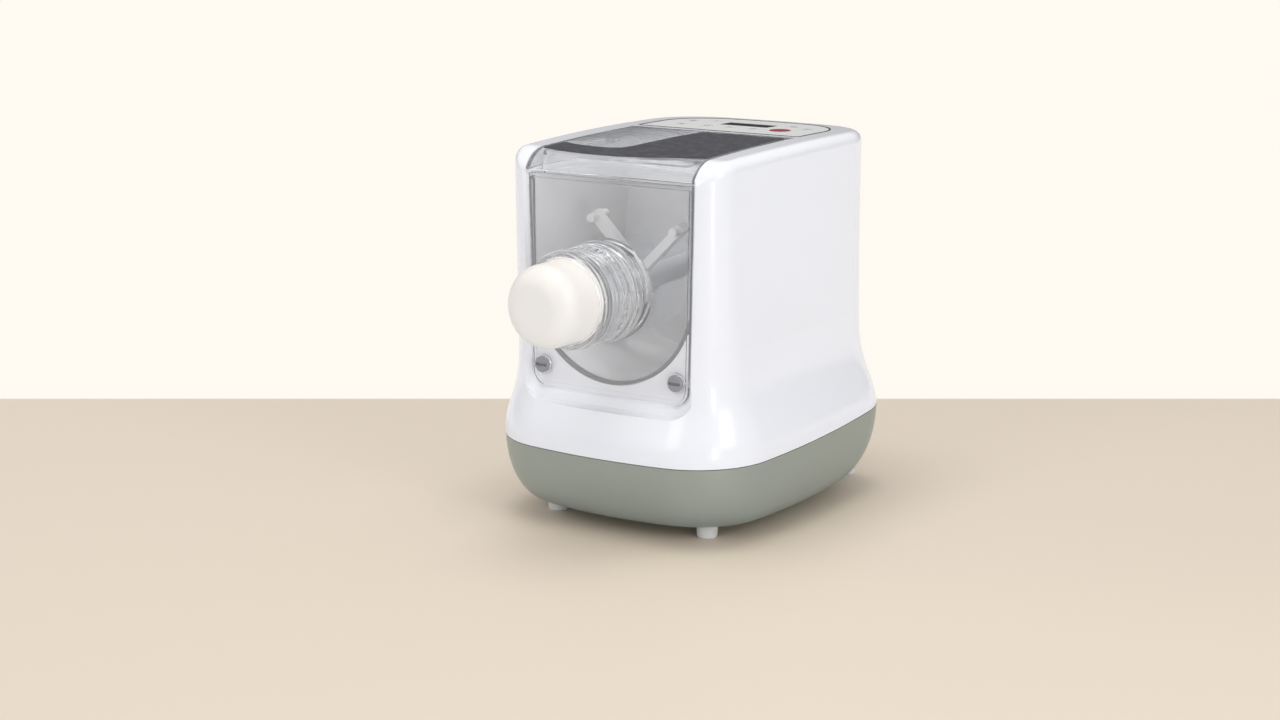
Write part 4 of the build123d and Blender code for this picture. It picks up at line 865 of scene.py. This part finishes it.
class PASTA_OT_stage(bpy.types.Operator):
    """Floor, light and camera"""
    bl_idname = "pasta.stage"
    bl_label = "Stage"

    def execute(self, context):
        stage = context.scene.pasta_stage
        camera_place = Vector((0.9687, -1.4156 + FACE, 0.5183))
        aim = Vector((-0.0124, 0.0662 + FACE, 0.125))
        ahead = Vector((aim.x - camera_place.x, aim.y - camera_place.y, 0)).normalized()

        floor = primitive("plane", "floor", size=40.0)
        floor.data.materials.append(floor_sheet(stage, ahead))

        context.scene.world = studio_world(stage)
        for name, place, target, width, height, share in (
            ("side_lamp", (2.3, -0.7, 1.1), (0.0, 0.0, 0.15), 1.0, 1.3, 0.78),
            ("corner_lamp", (0.98, -0.72, 0.17), (0.05, -0.1, 0.12), 0.16, 0.3, 0.06),
            ("front_lamp", (-0.3, -2.3, 1.3), (0, 0, 0.2), 0.8, 1.2, 0.48),
            ("left_lamp", (-2.0, -0.6, 1.3), (0, -0.05, 0.15), 1.2, 1.6, 0.25),
            ("top_lamp", (0.0, -0.1, 2.3), (0, 0, 0.2), 1.2, 1.2, 0.9),
        ):
            bpy.ops.object.light_add(type="AREA", location=place)
            lamp = context.object
            lamp.name = name
            lamp.data.shape = "RECTANGLE"
            lamp.data.size, lamp.data.size_y = width, height
            lamp.data.energy = stage.key_light * share
            lamp.rotation_euler = (Vector(target) - Vector(place)).to_track_quat("-Z", "Y").to_euler()

        bpy.ops.object.camera_add(location=camera_place)
        camera = context.object
        camera.rotation_euler = (aim - camera_place).to_track_quat("-Z", "Y").to_euler()
        camera.data.lens = 64.12
        camera.data.clip_end = 60
        context.scene.camera = camera
        context.scene.view_settings.view_transform = "Standard"
        return {"FINISHED"}


class PASTA_PT_panel(bpy.types.Panel):
    """Lists the pasta maker's operators and settings"""
    bl_label = "Pasta Maker"
    bl_idname = "PASTA_PT_panel"
    bl_space_type = "VIEW_3D"
    bl_region_type = "UI"
    bl_category = "Pasta Maker"

    def draw(self, context):
        layout = self.layout
        for step in STEPS:
            layout.operator(step.bl_idname)
        for group in (context.scene.pasta_body, context.scene.pasta_nozzle, context.scene.pasta_stage):
            box = layout.box()
            for name in group.bl_rna.properties.keys():
                if name not in ("rna_type", "name"):
                    box.prop(group, name)


STEPS = (PASTA_OT_body, PASTA_OT_panel, PASTA_OT_nozzle, PASTA_OT_lid, PASTA_OT_chamber,
         PASTA_OT_controls, PASTA_OT_works, PASTA_OT_stage)
CLASSES = (PastaMakerBody, PastaMakerNozzle, PastaMakerStage, *STEPS, PASTA_PT_panel)


def register():
    for cls in CLASSES:
        bpy.utils.register_class(cls)
    bpy.types.Scene.pasta_body = bpy.props.PointerProperty(type=PastaMakerBody)
    bpy.types.Scene.pasta_nozzle = bpy.props.PointerProperty(type=PastaMakerNozzle)
    bpy.types.Scene.pasta_stage = bpy.props.PointerProperty(type=PastaMakerStage)


def unregister():
    del bpy.types.Scene.pasta_body
    del bpy.types.Scene.pasta_nozzle
    del bpy.types.Scene.pasta_stage
    for cls in reversed(CLASSES):
        bpy.utils.unregister_class(cls)


def main():
    register()
    for step in STEPS:
        group, name = step.bl_idname.split(".")
        getattr(getattr(bpy.ops, group), name)()


if __name__ == "__main__":
    main()
